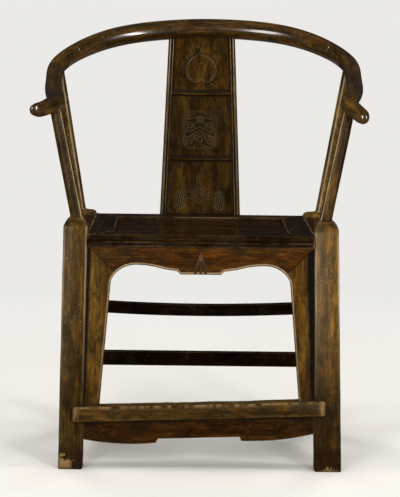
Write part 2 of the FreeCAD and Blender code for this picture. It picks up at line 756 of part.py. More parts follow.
def stretcher_tenons(body, low, high):
    """A tenon at each end of a rear stretcher, and its mortises in the rear legs."""
    for side_name, side in SIDES:
        x0, x1 = span(f"{leg_in(low)} - tenon_edge", f"{leg_in(low)} + tenon_long", side)
        tenon(body, f"{body.Label}_tenon_{side_name}", (x0, f"({rear_axis} - tenon_thick / 2)", low),
              (x1, f"({rear_axis} + tenon_thick / 2)", high), [legs["rear", side_name]])


upper_low = "(upper_stretcher_top - upper_stretcher_high)"
upper = new_body("rear_stretcher_upper")
steps = [on_leg(-1, upper_low), (("0", f"{upper_low} - upper_stretcher_bow"), on_leg(1, upper_low)),
         on_leg(1, "upper_stretcher_top"),
         (("0", "upper_stretcher_top - upper_stretcher_bow"), on_leg(-1, "upper_stretcher_top"))]
front_pad(upper, "rear_stretcher_upper_bar", stretcher_back, "stretcher_thick", steps)
stretcher_tenons(upper, f"({upper_low} + tenon_edge)", "(upper_stretcher_top - tenon_edge)")
lower = new_body("rear_stretcher_lower")
lower_low = "(lower_stretcher_top - lower_stretcher_high)"
corners = [on_leg(-1, "lower_stretcher_top"), on_leg(-1, lower_low), on_leg(1, lower_low),
           on_leg(1, "lower_stretcher_top")]
front_pad(lower, "rear_stretcher_lower_bar", stretcher_back, "stretcher_thick", corners)
stretcher_tenons(lower, f"({lower_low} + tenon_edge)", "(lower_stretcher_top - tenon_edge)")

side_stretchers = []
for level in ("upper", "lower"):
    top = f"side_{level}_top"
    low = f"({top} - side_stretcher_high)"
    for side_name, side in SIDES:
        body = new_body(f"side_stretcher_{level}_{side_name}")
        side_stretchers.append(body)
        centre = f"({leg_in(low)} + leg_thick / 2)"
        x0, x1 = span(f"{centre} - stretcher_thick / 2", f"{centre} + stretcher_thick / 2", side)
        pad(body, body.Label + "_bar", "XY_Plane", low, rectangle(x0, f"-{leg_gap_y}", x1, leg_gap_y),
            "side_stretcher_high")
        t0, t1 = span(f"{centre} - tenon_thick / 2", f"{centre} + tenon_thick / 2", side)
        for facing in (-1, 1):
            y0, y1 = ordered(facing, f"{leg_gap_y} - overrun", f"{leg_gap_y} + tenon_long")
            tenon(body, f"{body.Label}_tenon_{ENDS[facing]}",
                  (t0, y0, f"({low} + tenon_edge)"), (t1, y1, f"({top} - tenon_edge)"),
                  [legs_at[facing, side_name]])

# Splat: two stiles and two crossrails with three panels in their grooves, all on one curve
splat_y = rear_axis


def splat_in(height):
    """Half distance between the stiles at a height."""
    run = f"(({height} - seat_height) / rail_rise)"
    return f"(splat_foot - stile_wide + (splat_head - splat_foot) * {run})"


def band(name, thick):
    """The curve of the splat seen from the side, as a slab of one thickness."""
    body = new_body(name)
    middle_y = f"(({splat_y} + rail_back) / 2 - splat_bow)"
    middle_z = "(seat_height + rail_rise / 2)"
    half = f"({thick}) / 2"
    steps = [(f"{splat_y} + {half}", "seat_height"),
             ((f"{middle_y} + {half}", middle_z), (f"rail_back + {half}", RAIL_HEIGHT)),
             (f"rail_back - {half}", RAIL_HEIGHT),
             ((f"{middle_y} - {half}", middle_z), (f"{splat_y} - {half}", "seat_height"))]
    pad(body, name + "_slab", "YZ_Plane", "-splat_foot - overrun", steps, "2 * (splat_foot + overrun)")
    return body


def splat_board(name, thick, corners):
    """A piece of the splat: its outline from the front, within a slab of its thickness."""
    body = new_body(name + "_outline")
    front_pad(body, name + "_prism", "rail_back + rail_thick", "rail_back + rail_thick", corners)
    return joined(name + "_bent", "Part::MultiCommon", body, [band(name + "_band", thick)])


CROSSRAIL_SHARES = (0.316, 0.6655)


def between_stiles(low, high, grow):
    """Corners of the space between the stiles, grown sideways."""
    return [(f"-({splat_in(low)} + {grow})", low), (f"{splat_in(low)} + {grow}", low),
            (f"{splat_in(high)} + {grow}", high), (f"-({splat_in(high)} + {grow})", high)]


lower_top, upper_top = (f"(seat_height + rail_rise * {share})" for share in CROSSRAIL_SHARES)
groove_thick = "panel_tongue_thick + 2 * fit_gap"
stile_groove = splat_board("stile_groove", groove_thick,
                           between_stiles("seat_height", RAIL_HEIGHT, "panel_tongue + fit_gap"))
STILE_HEAD = f"({RAIL_HEIGHT} - rail_thick)"
mortises = []
for side_name, side in SIDES:
    corners = [(f"{side} * ({splat_in('seat_height')} + stile_wide)", "seat_height"),
               (f"{side} * {splat_in('seat_height')}", "seat_height"),
               (f"{side} * {splat_in(RAIL_HEIGHT)}", RAIL_HEIGHT),
               (f"{side} * ({splat_in(RAIL_HEIGHT)} + stile_wide)", RAIL_HEIGHT)]
    bent = splat_board(f"splat_stile_{side_name}", "stile_thick", corners)
    grooved = joined(f"splat_stile_{side_name}_grooved", "Part::Cut", bent, [stile_groove])
    scribed = joined(f"splat_stile_{side_name}_scribed", "Part::Cut", grooved, [rail_form["back"]])
    x0, x1 = span(f"{splat_in('seat_height')} + (stile_wide - stile_tenon_thick) / 2",
                  f"{splat_in('seat_height')} + (stile_wide + stile_tenon_thick) / 2", side)
    foot = new_body(f"splat_stile_{side_name}_foot")
    tenon(foot, f"splat_stile_{side_name}_foot_tenon",
          (x0, f"({splat_y} - stile_tenon_thick / 2)", "(seat_height - stile_tenon)"),
          (x1, f"({splat_y} + stile_tenon_thick / 2)", "(seat_height + tenon_edge)"), [rear_rail])
    ends = []
    for label, gap in (("head", "0"), ("mortise", "fit_gap")):
        low, high = STILE_HEAD, f"({RAIL_HEIGHT} - rail_thick / 2 + stile_tenon + {gap})"
        near = f"(stile_wide - stile_tenon_thick) / 2 - {gap}"
        far = f"(stile_wide + stile_tenon_thick) / 2 + {gap}"
        corners = [(f"{side} * ({splat_in(z)} + {reach})", z) for reach, z in
                   ((near, low), (far, low), (far, high), (near, high))]
        ends.append(splat_board(f"splat_stile_{side_name}_{label}",
                                f"stile_tenon_thick + 2 * {gap}", corners))
    mortises.append(ends[1])
    whole = joined(f"splat_stile_{side_name}", "Part::MultiFuse", scribed, [foot, ends[0]])
    node(whole, f"splat_stile_{side_name}")

PANELS = (("bottom", "seat_height", f"({lower_top} - crossrail_high)"),
          ("middle", lower_top, f"({upper_top} - crossrail_high)"),
          ("top", upper_top, RAIL_HEIGHT))
panel_cuts = {}
for name, low, high in PANELS:
    tongue_low = low if name == "bottom" else f"({low} - panel_tongue)"
    tongue_high = high if name == "top" else f"({high} + panel_tongue)"
    field = splat_board(f"splat_panel_{name}", "panel_thick", between_stiles(low, high, "0"))
    tongue = splat_board(f"splat_panel_{name}_tongue", "panel_tongue_thick",
                         between_stiles(tongue_low, tongue_high, "panel_tongue"))
    whole = joined(f"splat_panel_{name}_whole", "Part::MultiFuse", field, [tongue])
    panel_cuts[name] = splat_board(
        f"splat_panel_{name}_groove", groove_thick,
        between_stiles(tongue_low if name == "bottom" else f"({tongue_low} - fit_gap)",
                       tongue_high if name == "top" else f"({tongue_high} + fit_gap)",
                       "panel_tongue + overrun"))
    if name == "top":
        whole = joined("splat_panel_top_scribed", "Part::Cut", whole, [rail_form["back"]])
    node(whole, f"splat_panel_{name}")

CROSSRAILS = (("lower", lower_top, ("bottom", "middle")), ("upper", upper_top, ("middle", "top")))
for name, top, pair in CROSSRAILS:
    low = f"({top} - crossrail_high)"
    bar = splat_board(f"splat_crossrail_{name}", "crossrail_thick", between_stiles(low, top, "0"))
    for other in pair:
        bar = joined(f"splat_crossrail_{name}_{other}", "Part::Cut", bar, [panel_cuts[other]])
    node(bar, f"splat_crossrail_{name}")

# Legs and crest rail: posts are scribed to the rail, with a round pin up into it
holes = {}
for (end_name, side_name), body in legs.items():
    side = dict(SIDES)[side_name]
    front = end_name == "front"
    place = post_head(side, front)
    pins = []
    for label, gap in (("pin", ""), ("hole", " + fit_gap")):
        pin = doc.addObject("Part::Cylinder", f"{end_name}_{label}_{side_name}")
        pin.setExpression("Radius", bound("post_pin" + gap))
        pin.setExpression("Height", bound("post_pin_foot + post_pin_head" + gap))
        for axis, text in zip("xyz", place):
            drop = " - post_pin_foot" if axis == "z" else ""
            pin.setExpression(f".Placement.Base.{axis}", bound(text + drop))
        pins.append(pin)
    carrier = ("grip_" if front else "arm_") + side_name
    holes[carrier] = pins[1]
    name = f"{end_name}_leg_{side_name}"
    scribed = joined(name + "_scribed", "Part::Cut", posts[end_name, side_name], [rail_form[carrier]])
    node(joined(name, "Part::MultiFuse", body, [scribed, pins[0]]), name)

node(joined("crest_rail_back", "Part::Cut", joined("crest_rail_back_left", "Part::Cut", rail_form["back"],
                                                   mortises[:1]), mortises[1:]), "crest_rail_back")
for carrier, hole in holes.items():
    node(joined("crest_rail_" + carrier, "Part::Cut", rail_form[carrier], [hole]), "crest_rail_" + carrier)

whole_bodies = [front_rail, rear_rail, board, front_apron, rear_apron, footrest, foot_apron, upper, lower]
whole_bodies += list(side_members.values()) + battens + side_rails + side_aprons + plain_aprons
for body in whole_bodies + side_stretchers:
    node(body, body.Label)

doc.recompute()
for item in doc.Objects:
    assert not {"Invalid", "Error"} & set(item.State), (item.Name, item.State)
for item in nodes:
    assert not item.Shape.isNull() and item.Shape.isValid(), item.Label
    for solid in item.Shape.Solids:
        assert solid.Volume > 0, item.Label

os.makedirs("parts", exist_ok=True)
for item in nodes:
    item.Shape.exportStep(f"parts/{item.Label}.step")
    print(item.Label, len(item.Shape.Solids), "solid,", round(item.Shape.Volume / 1000, 1), "ml")
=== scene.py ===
"""Looks of the horseshoe back armchair: carved hardwood, waxed, darkened and worn by use.

Metres throughout. The chair faces -Y, +Z is up, and the floor is at z = 0.
"""
import math

import bmesh
import bpy
import numpy as np
from mathutils import Matrix, Vector, noise


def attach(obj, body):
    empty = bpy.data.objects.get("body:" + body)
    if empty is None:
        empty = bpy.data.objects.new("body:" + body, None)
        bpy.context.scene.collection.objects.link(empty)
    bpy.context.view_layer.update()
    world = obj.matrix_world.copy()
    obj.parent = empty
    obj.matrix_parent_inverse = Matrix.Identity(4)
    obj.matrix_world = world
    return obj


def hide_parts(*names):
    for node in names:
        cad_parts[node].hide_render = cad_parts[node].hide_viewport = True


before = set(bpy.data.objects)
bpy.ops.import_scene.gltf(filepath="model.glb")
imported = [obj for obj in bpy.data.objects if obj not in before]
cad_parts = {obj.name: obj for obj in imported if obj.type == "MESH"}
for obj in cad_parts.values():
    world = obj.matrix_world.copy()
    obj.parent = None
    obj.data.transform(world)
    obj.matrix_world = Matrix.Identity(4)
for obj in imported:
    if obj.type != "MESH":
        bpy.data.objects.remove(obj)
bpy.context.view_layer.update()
scene = bpy.context.scene
MM = 0.001
SIDES = (("left", -1), ("right", 1))


# Camera: fitted to the photograph

PHOTO_HIGH = 497
SENSOR = 36.0
FOCAL_PIXELS = 2026.1
CAMERA_PLACE = Vector((-0.0375, -4.530, 0.9936))
CAMERA_PITCH, CAMERA_YAW, CAMERA_ROLL = (math.radians(angle) for angle in (6.75, 0.47, -0.74))


def place_camera():
    forward = Vector((math.sin(CAMERA_YAW) * math.cos(CAMERA_PITCH),
                      math.cos(CAMERA_YAW) * math.cos(CAMERA_PITCH), -math.sin(CAMERA_PITCH)))
    level = Vector((math.cos(CAMERA_YAW), -math.sin(CAMERA_YAW), 0))
    down = forward.cross(level)
    right = math.cos(CAMERA_ROLL) * level + math.sin(CAMERA_ROLL) * down
    up = math.sin(CAMERA_ROLL) * level - math.cos(CAMERA_ROLL) * down
    lens = bpy.data.cameras.new("portrait_lens")
    lens.sensor_width = SENSOR
    lens.lens = FOCAL_PIXELS * SENSOR / PHOTO_HIGH
    camera = bpy.data.objects.new("camera", lens)
    turn = Matrix((right, up, -forward)).transposed()
    camera.matrix_world = Matrix.Translation(CAMERA_PLACE) @ turn.to_4x4()
    scene.collection.objects.link(camera)
    scene.camera = camera


place_camera()


# Sizes of the chair that the pieces below share with the solids

SEAT = 0.512
LEG_FACE = 0.230
LEG_THICK = 0.052
LEG_INNER = 0.243
LEG_SPLAY = 0.009
APRON_FRONT = -0.225
APRON_TOP = SEAT - 0.025
APRON_DROP = 0.0595
MITRE_FOOT = (0.182, APRON_TOP - APRON_DROP * 0.975)
FOOTREST_TOP, FOOTREST_LOW = 0.1475, 0.1155
FOOTREST_FRONT, FOOTREST_BACK = -0.246, -0.200
SPLAT_FOOT_Y = 0.204
RAIL_BACK = 0.277
RAIL_RISE = 0.435
RAIL_TOP = SEAT + RAIL_RISE


def leg_in(height):
    """Half the distance between the legs' inner faces at a height."""
    return LEG_INNER + LEG_SPLAY * (SEAT - height) / SEAT


# Node helpers: a source is an output socket, a number, a vector or a colour

def node(tree, kind, **settings):
    made = tree.nodes.new(kind)
    for key, value in settings.items():
        setattr(made, key, value)
    return made


def feed(source, target):
    """Link an output socket to an input, or set the input to a plain value."""
    if isinstance(source, bpy.types.NodeSocket):
        target.id_data.links.new(source, target)
    else:
        target.default_value = (*source, 1) if target.type == "RGBA" else source


def tree_of(*sources):
    """The node tree that holds the first output socket among some sources."""
    return next(source.id_data for source in sources if isinstance(source, bpy.types.NodeSocket))


def calc(operation, first, second=None, clamp=False):
    made = node(tree_of(first, second), "ShaderNodeMath", operation=operation, use_clamp=clamp)
    for slot, source in zip(made.inputs, (first, second)):
        if source is not None:
            feed(source, slot)
    return made.outputs[0]


def plus(first, second, clamp=False):
    return calc("ADD", first, second, clamp)


def minus(first, second, clamp=False):
    return calc("SUBTRACT", first, second, clamp)


def times(first, second, clamp=False):
    return calc("MULTIPLY", first, second, clamp)


def ramp(source, *stops):
    """A colour ramp; each stop is a place and a grey level or a colour."""
    made = node(source.id_data, "ShaderNodeValToRGB")
    feed(source, made.inputs[0])
    band = made.color_ramp.elements
    while len(band) < len(stops):
        band.new(0.5)
    for element, (place, tone) in zip(band, stops):
        element.position = place
        element.color = (tone, tone, tone, 1) if isinstance(tone, (int, float)) else (*tone, 1)
    return made.outputs[0]


def mix(amount, first, second, blend="MIX"):
    """Two colours mixed by an amount."""
    made = node(tree_of(amount, first, second), "ShaderNodeMix", data_type="RGBA", blend_type=blend)
    for slot, source in ((0, amount), (6, first), (7, second)):
        feed(source, made.inputs[slot])
    return made.outputs[2]


def noise_at(vector, scale, detail=4.0, rough=0.55, twist=0.0):
    made = node(vector.id_data, "ShaderNodeTexNoise")
    labels = ("Vector", "Scale", "Detail", "Roughness", "Distortion")
    for label, source in zip(labels, (vector, scale, detail, rough, twist)):
        feed(source, made.inputs[label])
    return made.outputs["Fac"]


def vector_calc(operation, first, second):
    made = node(first.id_data, "ShaderNodeVectorMath", operation=operation)
    feed(first, made.inputs[0])
    feed(second, made.inputs[1])
    return made.outputs


def shifted(vector, seed):
    return vector_calc("ADD", vector, seed)["Vector"]


def stretched(vector, factors):
    return vector_calc("MULTIPLY", vector, factors)["Vector"]


def parts_of(vector):
    made = node(vector.id_data, "ShaderNodeSeparateXYZ")
    feed(vector, made.inputs[0])
    return made.outputs


def here(tree):
    """The shaded point in the piece's own axes."""
    return node(tree, "ShaderNodeTexCoord").outputs["Object"]


def marked(tree, label, output="Fac"):
    """What a mesh attribute says at the shaded point."""
    return node(tree, "ShaderNodeAttribute", attribute_name=label).outputs[output]


# Effects: shader node groups, each built once

SOCKET_KINDS = {"Fibres": "NodeSocketVector", "Tint": "NodeSocketColor", "Shade": "NodeSocketColor"}


def effect(name, inputs, outputs):
    """An empty node group with named sockets, which are numbers unless SOCKET_KINDS names them.

    Inputs are labels with their values. What it is given and its result come back as sockets by label.
    """
    tree = bpy.data.node_groups.new(name, "ShaderNodeTree")
    for way, labels in (("INPUT", inputs), ("OUTPUT", outputs)):
        for label in labels:
            kind = SOCKET_KINDS.get(label, "NodeSocketFloat")
            socket = tree.interface.new_socket(label, in_out=way, socket_type=kind)
            if way == "INPUT" and inputs[label] is not None:
                socket.default_value = inputs[label]
    return tree, node(tree, "NodeGroupInput").outputs, node(tree, "NodeGroupOutput").inputs


def make_grain():
    """Grain of one timber. The vector's third axis runs along the fibres."""
    tree, given, result = effect("timber grain", {"Fibres": None, "Seed": 0.0}, ("Figure", "Streaks", "Pores"))
    fibres = shifted(given["Fibres"], given["Seed"])
    feed(noise_at(stretched(fibres, (1, 1, 0.10)), 34, 5, 0.6, 0.8), result["Figure"])
    feed(noise_at(stretched(fibres, (1, 1, 0.05)), 330, 4, 0.65, 0.3), result["Streaks"])
    pores = noise_at(stretched(fibres, (1, 1, 0.12)), 620, 2, 0.5)
    feed(ramp(pores, (0.58, 0.0), (0.70, 1.0)), result["Pores"])
    return tree


def make_wax_mottling():
    """Old wax that has thickened to dark patches and worn to warm ones."""
    tree, given, result = effect("wax mottling", {"Fibres": None, "Seed": 0.0}, ("Tint",))
    patches = noise_at(shifted(stretched(given["Fibres"], (1, 1, 0.42)), given["Seed"]), 46, 9, 0.74, 0.6)
    thick, even, thin = (0.30, 0.31, 0.26), (0.92, 0.90, 0.82), (1.80, 1.50, 1.05)
    feed(ramp(patches, (0.38, thick), (0.50, even), (0.62, thin)), result["Tint"])
    return tree


def make_planed_relief():
    """The height of the open grain, and of the waves that a hand plane leaves."""
    tree, given, result = effect("planed relief", {"Streaks": 0.0, "Pores": 0.0}, ("Height",))
    open_grain = minus(times(given["Streaks"], 0.25), times(given["Pores"], 0.03))
    waves = times(noise_at(here(tree), 48, 3), 1.8)
    dents = times(noise_at(here(tree), 170, 3, 0.6), 0.5)
    feed(plus(open_grain, plus(waves, dents)), result["Height"])
    return tree


def make_edge_wear_and_highlight():
    """Where hands, feet and knocks have worn the edges down to paler wood; these pale edges also stand in for
    painted highlights along rounded edges.
    """
    tree, given, result = effect("worn and highlit edges", {"Radius": 0.003, "Amount": 1.0}, ("Mask",))
    rounded = node(tree, "ShaderNodeBevel", samples=6)
    feed(given["Radius"], rounded.inputs["Radius"])
    plain = node(tree, "ShaderNodeNewGeometry").outputs["Normal"]
    facing = vector_calc("DOT_PRODUCT", rounded.outputs[0], plain)["Value"]
    edge = times(minus(1.0, facing), 9.0, clamp=True)
    patchy = ramp(noise_at(here(tree), 21, 6, 0.65), (0.36, 0.0), (0.62, 1.0))
    feed(times(times(edge, patchy), given["Amount"], clamp=True), result["Mask"])
    return tree


def make_grime_and_shade():
    """Dark wax and dust that gather in corners and carving, with painted shade wherever ambient occlusion
    finds them closed in.
    """
    tree, given, result = effect("grime and painted shade in corners", {"Reach": 0.016, "Amount": 1.0}, ("Mask",))
    hollow = node(tree, "ShaderNodeAmbientOcclusion", samples=8)
    feed(given["Reach"], hollow.inputs["Distance"])
    closed = times(minus(1.0, hollow.outputs["AO"]), 1.5, clamp=True)
    patchy = ramp(noise_at(here(tree), 40, 4, 0.6), (0.30, 0.55), (0.65, 1.0))
    feed(times(times(closed, patchy), given["Amount"], clamp=True), result["Mask"])
    return tree


def make_stains():
    """Dark old stains and knocks, in blots of two sizes."""
    tree, given, result = effect("old stains", {"Amount": 1.0, "Seed": 0.0}, ("Mask",))
    place = shifted(here(tree), given["Seed"])
    broad = ramp(noise_at(place, 15, 9, 0.74, 0.6), (0.51, 0.0), (0.60, 1.0))
    small = ramp(noise_at(place, 75, 6, 0.7), (0.60, 0.0), (0.66, 0.9))
    feed(times(calc("MAXIMUM", broad, small), given["Amount"], clamp=True), result["Mask"])
    return tree


def make_flecks():
    """Small pale nicks, where the wax has chipped off."""
    tree, given, result = effect("pale nicks", {"Amount": 0.6, "Seed": 0.0}, ("Mask",))
    place = shifted(here(tree), given["Seed"])
    nicks = ramp(noise_at(place, 240, 4, 0.6), (0.62, 0.0), (0.68, 1.0))
    fields = ramp(noise_at(place, 19, 3), (0.42, 0.0), (0.60, 1.0))
    feed(times(times(nicks, fields), given["Amount"], clamp=True), result["Mask"])
    return tree


def make_shadow_by_leg():
    """Dust darkening an apron's mitre, and a painted shadow beside its joint with the leg, which narrows
    downwards.
    """
    tree, given, result = effect("painted shadow beside the leg", {"Left Width": 0.011, "Right Width": 0.024}, ("Mask",))
    across, _, height = parts_of(here(tree))
    aside = calc("ABSOLUTE", across)
    near = minus(minus(leg_in(0), times(height, LEG_SPLAY / SEAT)), aside)
    wider = times(calc("GREATER_THAN", across, 0.0), minus(given["Right Width"], given["Left Width"]))
    share = times(minus(height, 0.10), 2.9, clamp=True)
    width = times(plus(given["Left Width"], wider), plus(0.25, times(share, 0.75)))
    fade = times(minus(1.0, calc("DIVIDE", near, width)), 2.2, clamp=True)
    run, rise = leg_in(APRON_TOP) - MITRE_FOOT[0], APRON_TOP - MITRE_FOOT[1]
    length = math.hypot(run, rise)
    off = calc("ABSOLUTE", minus(times(minus(aside, MITRE_FOOT[0]), rise / length),
                                 times(minus(height, MITRE_FOOT[1]), run / length)))
    seam = times(minus(0.0013, off), 1400.0, clamp=True)
    feed(calc("MAXIMUM", fade, seam), result["Mask"])
    return tree


def make_low_shade():
    """Painted shade that darkens the chair towards its feet, where less light falls."""
    tree, given, result = effect("painted shade low down", {"Amount": 1.0}, ("Shade",))
    shade = ramp(parts_of(here(tree))["Z"], (0.05, 0.50), (0.14, 0.36), (0.25, 0.66), (0.38, 1.0))
    feed(mix(given["Amount"], (1, 1, 1), shade), result["Shade"])
    return tree


def make_scuffed_foot():
    """Damp has reddened a foot, and moving has stripped one patch of it to raw pale wood."""
    patch = {"Height": 0.03, "Across": 0.0, "Damp Height": 0.1, "Seed": 0.0}
    tree, given, result = effect("foot near the floor", patch, ("Bare", "Damp"))
    across, _, height = parts_of(here(tree))
    aside = times(calc("ABSOLUTE", minus(across, given["Across"])), 58.0)
    low = minus(minus(1.0, calc("DIVIDE", height, given["Height"])), aside)
    patchy = ramp(noise_at(shifted(here(tree), given["Seed"]), 85, 6, 0.7), (0.35, 0.0), (0.65, 1.0))
    lift = times(minus(patchy, 0.35), 1.5)
    feed(times(plus(low, lift), 2.5, clamp=True), result["Bare"])
    rise = minus(1.25, calc("DIVIDE", height, given["Damp Height"]), clamp=True)
    feed(times(rise, minus(1.25, times(patchy, 0.6)), clamp=True), result["Damp"])
    return tree


GRAIN, WAX_MOTTLING, PLANED_RELIEF = make_grain(), make_wax_mottling(), make_planed_relief()
EDGE_WEAR_AND_HIGHLIGHT, GRIME_AND_SHADE, STAINS, SCUFFED_FOOT = make_edge_wear_and_highlight(), make_grime_and_shade(), make_stains(), make_scuffed_foot()
FLECKS, SHADOW_BY_LEG, LOW_SHADE = make_flecks(), make_shadow_by_leg(), make_low_shade()


# Timbers. Tones are linear: dark, middle and light of each

LEG_TONES = ((0.042, 0.020, 0.0030), (0.094, 0.049, 0.0085), (0.178, 0.104, 0.025))
RAIL_TONES = ((0.020, 0.008, 0.0014), (0.058, 0.028, 0.0045), (0.118, 0.066, 0.014))
APRON_TONES = ((0.028, 0.009, 0.0008), (0.054, 0.019, 0.0018), (0.096, 0.044, 0.006))
SIDE_APRON_TONES = ((0.048, 0.020, 0.0025), (0.125, 0.062, 0.009), (0.21, 0.118, 0.024))
# The seat's tones are dark partly for the wood and partly as painted shade on its upward faces
SEAT_TONES = ((0.005, 0.0016, 0.0004), (0.014, 0.005, 0.0012), (0.034, 0.015, 0.004))
SPLAT_TONES = ((0.014, 0.0062, 0.0010), (0.031, 0.0155, 0.0026), (0.062, 0.035, 0.007))
# Very dark partly for the wood and partly as painted shade, for the stretchers stand in shadow
STRETCHER_TONES = ((0.003, 0.0009, 0.0003), (0.008, 0.0028, 0.0009), (0.020, 0.0085, 0.0028))
RAW_TONE, DAMP_TONE, STAIN_TONE = (0.30, 0.19, 0.080), (0.022, 0.0085, 0.0022), (0.016, 0.012, 0.004)
# Colours of the dark mitre line with the painted shadow beside the legs, and of grime with painted shade in
# corners
SHADOW_BY_LEG_TONE, GRIME_AND_SHADE_TONE = (0.006, 0.003, 0.0012), (0.009, 0.0055, 0.002)
COAT_ROUGHNESS = 0.12
RELIEF_DEPTH = 0.0005
# Which parts of a place run across, through and along the fibres, for fibres along each axis
AXES = {"x": "ZYX", "y": "XZY", "z": "XYZ"}


def placed_effect(tree, group, **values):
    """An effect's outputs in a material, with its inputs set or linked."""
    made = node(tree, "ShaderNodeGroup", node_tree=group)
    for label, source in values.items():
        feed(source, made.inputs[label])
    return made.outputs


def wood(name, tones, along, share=1.0, worn=(0.30, 0.19, 0.085), wear=0.7, edge=0.0035, stains=0.5,
         grime_and_shade=0.95, gloss=0.24, shine=0.24, coat=0.03, rough_hewn=0.4, flecks=0.5, joint=(), low=0.0,
         stripped=(), seed=0.0):
    """A waxed timber. along is the axis of its fibres, or 'own' for the piece's own grain attribute.

    share makes its tones lighter or darker. stripped is how high above the floor its wax has gone, the
    middle of that patch, and how high damp has risen. rough_hewn is how far its relief shows, joint how wide
    the painted shadow is beside the left and the right leg, and low how much painted shade darkens it towards
    the floor. worn is the pale colour both of wear and of painted highlights. A piece's darkened attribute
    paints shade into its grooves, hollows and shoulders and darkens its posts, and its other attribute of pale
    marks wears it down to paler wood and paints highlights on it.
    """
    made = bpy.data.materials.new(name)
    made.use_nodes = True
    tree = made.node_tree
    surface = tree.nodes["Principled BSDF"].inputs
    dark, middle, light = ([share * c for c in tone] for tone in tones)
    if along == "own":
        fibres = marked(tree, "grain", "Vector")
    else:
        parts, joined = parts_of(here(tree)), node(tree, "ShaderNodeCombineXYZ")
        for slot, axis in zip(joined.inputs, AXES[along]):
            feed(parts[axis], slot)
        fibres = joined.outputs[0]
    grain = placed_effect(tree, GRAIN, Fibres=fibres, Seed=seed)
    colour = ramp(grain["Figure"], (0.30, dark), (0.50, middle), (0.72, light))
    colour = mix(0.8, colour, ramp(grain["Streaks"], (0.36, 0.50), (0.64, 1.38)), "MULTIPLY")
    colour = mix(0.9, colour, placed_effect(tree, WAX_MOTTLING, Fibres=fibres, Seed=seed)["Tint"], "MULTIPLY")
    colour = mix(times(grain["Pores"], 0.55), colour, [c * 0.35 for c in dark])
    stain = placed_effect(tree, STAINS, Amount=stains, Seed=seed)["Mask"]
    colour = mix(stain, colour, STAIN_TONE)
    colour = mix(placed_effect(tree, FLECKS, Amount=flecks, Seed=seed)["Mask"], colour, worn)
    # Pale worn edges, and the piece's own marks of wear and of painted highlights on edges, crests and posts
    wear_and_highlight = placed_effect(tree, EDGE_WEAR_AND_HIGHLIGHT, Radius=edge, Amount=wear)["Mask"]
    wear_and_highlight_share = times(marked(tree, "wear_and_highlight"), times(grain["Streaks"], 1.5), clamp=True)
    colour = mix(calc("MAXIMUM", wear_and_highlight, wear_and_highlight_share), colour, worn)
    # Painted shade, darker towards the floor
    if low:
        colour = mix(1.0, colour, placed_effect(tree, LOW_SHADE, Amount=low)["Shade"], "MULTIPLY")
    if stripped:
        reach = dict(zip(("Height", "Across", "Damp Height"), stripped))
        foot = placed_effect(tree, SCUFFED_FOOT, Seed=seed, **reach)
        colour = mix(foot["Bare"], mix(foot["Damp"], colour, DAMP_TONE), RAW_TONE)
    # Painted shade in grooves, hollows and shoulders, and the darker tone of the posts
    darkened = marked(tree, "darkened")
    colour = mix(times(darkened, 0.9), colour, [c * 0.2 for c in dark])
    # The dark mitre line, and the painted shadow beside each leg
    if joint:
        widths = dict(zip(("Left Width", "Right Width"), joint))
        colour = mix(placed_effect(tree, SHADOW_BY_LEG, **widths)["Mask"], colour, SHADOW_BY_LEG_TONE)
    # Grime and painted shade in corners, in carving and between pieces
    dirt_and_shade = placed_effect(tree, GRIME_AND_SHADE, Amount=grime_and_shade)["Mask"]
    feed(mix(dirt_and_shade, colour, GRIME_AND_SHADE_TONE), surface["Base Color"])
    rough = plus(times(grain["Streaks"], 0.22), gloss - 0.11)
    dull = plus(plus(stain, dirt_and_shade), times(darkened, 0.7))
    feed(plus(rough, times(dull, 0.18), clamp=True), surface["Roughness"])
    feed(shine, surface["Specular IOR Level"])
    feed(coat, surface["Coat Weight"])
    feed(COAT_ROUGHNESS, surface["Coat Roughness"])
    relief = placed_effect(tree, PLANED_RELIEF, Streaks=grain["Streaks"], Pores=grain["Pores"])
    bump = node(tree, "ShaderNodeBump")
    for label, source in (("Strength", rough_hewn), ("Distance", RELIEF_DEPTH), ("Height", relief["Height"])):
        feed(source, bump.inputs[label])
    feed(bump.outputs[0], surface["Normal"])
    return made


